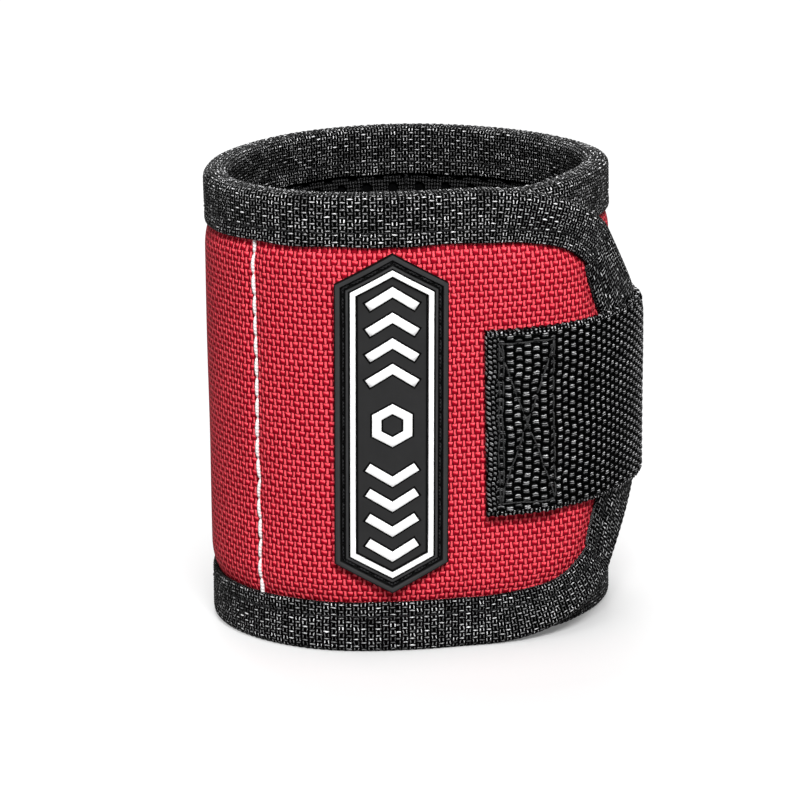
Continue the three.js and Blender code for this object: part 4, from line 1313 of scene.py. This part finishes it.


# A strip of white rubber along a line, or the near-black band round it, which is painted shadow
def raisedStrip(name, line, isClosed, isShadowBand):
    line = np.array(line, float)
    grow = badge["shadowBand"] if isShadowBand else 0
    after = unit(np.roll(line, -1, 0) - line)
    before = np.roll(after, 1, 0)
    if not isClosed:
        line[0] -= after[0] * grow
        line[-1] += after[-2] * grow
        before[0], after[-1] = after[0], after[-2]
    both = unit(before + after)
    mitre = np.stack([-both[:, 1], both[:, 0]], 1) / (both * after).sum(1)[:, None]
    if isClosed:
        line, mitre = (np.concatenate([part, part[:1]]) for part in (line, mitre))
    t = (np.arange(motif["parts"]) / motif["parts"])[:, None]
    centre, across = (
        np.concatenate([lerp(part[:-1, None], part[1:, None], t).reshape(-1, 2), part[-1:]])[:, None]
        for part in (line, mitre)
    )
    half, floor = motif["line"] + grow, fieldFloor - 0.05
    top = floor + motif["shadowBandRise" if isShadowBand else "rise"]
    corners = [(half, floor), (half, top - 0.06), (half - 0.05, top)]
    section = np.array([(-x, y) for x, y in corners] + corners[::-1])
    flat = centre + across * section[None, :, :1]
    points = onBadge(flat[..., 0], section[None, :, 1], flat[..., 1])
    made = closedLoft(name, points, "groove" if isShadowBand else "white", flat, hasEnds=not isClosed)
    declare(made, "front_panel")


def makeMotif():
    turn = np.radians(np.arange(6) * 60 + 90)
    lines = {"hexagon": motif["hexagon"] * np.stack([np.cos(turn), np.sin(turn)], 1)}
    for way, side in ((1, "up"), (-1, "down")):
        for k in range(motif["count"]):
            foot = way * (motif["first"] + k * motif["pitch"])
            tip = foot + way * motif["depth"]
            lines[f"chevron_{side}_{k}"] = [(-motif["reach"], foot), (0, tip), (motif["reach"], foot)]
    for name, line in lines.items():
        raisedStrip(f"motif_{name}", line, name == "hexagon", False)
        # Painted shadow: a near-black band round each raised line
        raisedStrip(f"moat_{name}", line, name == "hexagon", True)


makeBadge()
badgeThread()
makeMotif()
makeBorder()
print("badge made")

# Floor, backdrop and light. The floor turns plain white away from the object's shadow.
stage = {
    "size": 6, "shade": 0.2, "seenShade": 0.615, "roughness": 0.5, "specular": 0.2, "white": 1.08,
    "shadowAt": (0.015, -0.035, 0), "shadowReach": (0.03, 0.13), "whiteShare": (0.15, 1.0), "ambient": 0.12,
}


# Whether a ray shows a thing to the camera: straight, in a reflection or through glass
def isSeen(w):
    camera, glossy, through = (
        w.node("ShaderNodeLightPath", {}, f"Is {kind} Ray") for kind in ("Camera", "Glossy", "Transmission")
    )
    return camera.do("MAXIMUM", glossy.do("MAXIMUM", through))


def makeFloor():
    bpy.ops.mesh.primitive_plane_add(size=stage["size"], location=(0, 0, 0))
    floor = bpy.context.object
    floor.name = "floor"
    w = Weaver("paleFloor")
    nodes = w.tree.nodes
    seen = isSeen(w)
    pale = w.mixColour(seen, grey(stage["shade"]), grey(stage["seenShade"]))
    w.shade({"Base Color": pale, "Roughness": stage["roughness"], "Specular IOR Level": stage["specular"]})
    fromShadow = w.node("ShaderNodeVectorMath", {0: w.place(), 1: stage["shadowAt"]}, operation="SUBTRACT")
    away = w.node("ShaderNodeVectorMath", {0: fromShadow}, "Value", operation="LENGTH")
    limits = (*stage["shadowReach"], *stage["whiteShare"])
    fade = w.node("ShaderNodeMapRange", {0: away, **dict(enumerate(limits, 1))})
    glow = w.node("ShaderNodeEmission", {"Strength": stage["white"]})
    plain = Wire(w, nodes["Principled BSDF"].outputs[0])
    total = w.node("ShaderNodeMixShader", {0: seen * fade, 1: plain, 2: glow})
    w.link(total, nodes["Material Output"].inputs[0])
    floor.data.materials.append(w.owner)


def makeBackdrop():
    w = Weaver("studio", "worlds")
    back = w.tree.nodes["Background"].inputs
    back["Color"].default_value = grey(1)
    w.link(w.mix(isSeen(w), stage["ambient"], 1.0), back["Strength"])
    bpy.context.scene.world = w.owner


lamps = {
    "key": {"place": (0.13, -0.83, 0.8), "size": 0.4, "power": 18.8},
    "fill": {"place": (-0.8, -0.45, 0.45), "size": 0.6, "power": 0.9},
    "back": {"place": (-0.1, 0.7, 0.75), "size": 0.5, "power": 4.5},
    "top": {"place": (0, -0.1, 1.1), "size": 0.45, "power": 5.5},
}
lampTarget = Vector((0, 0, 0.045))


def makeLamps():
    for name, lamp in lamps.items():
        data = bpy.data.lights.new(name, "AREA")
        data.size = lamp["size"]
        data.energy = lamp["power"]
        made = bpy.data.objects.new(name, data)
        bpy.context.scene.collection.objects.link(made)
        made.location = lamp["place"]
        made.rotation_euler = (lampTarget - made.location).to_track_quat("-Z", "Y").to_euler()


makeFloor()
makeBackdrop()
makeLamps()
bpy.context.scene.view_settings.view_transform = "Standard"

for name, node in frame["nodes"].items():
    if name.startswith("magnet_"):
        node.data.materials.clear()
        node.data.materials.append(look["nickel"])
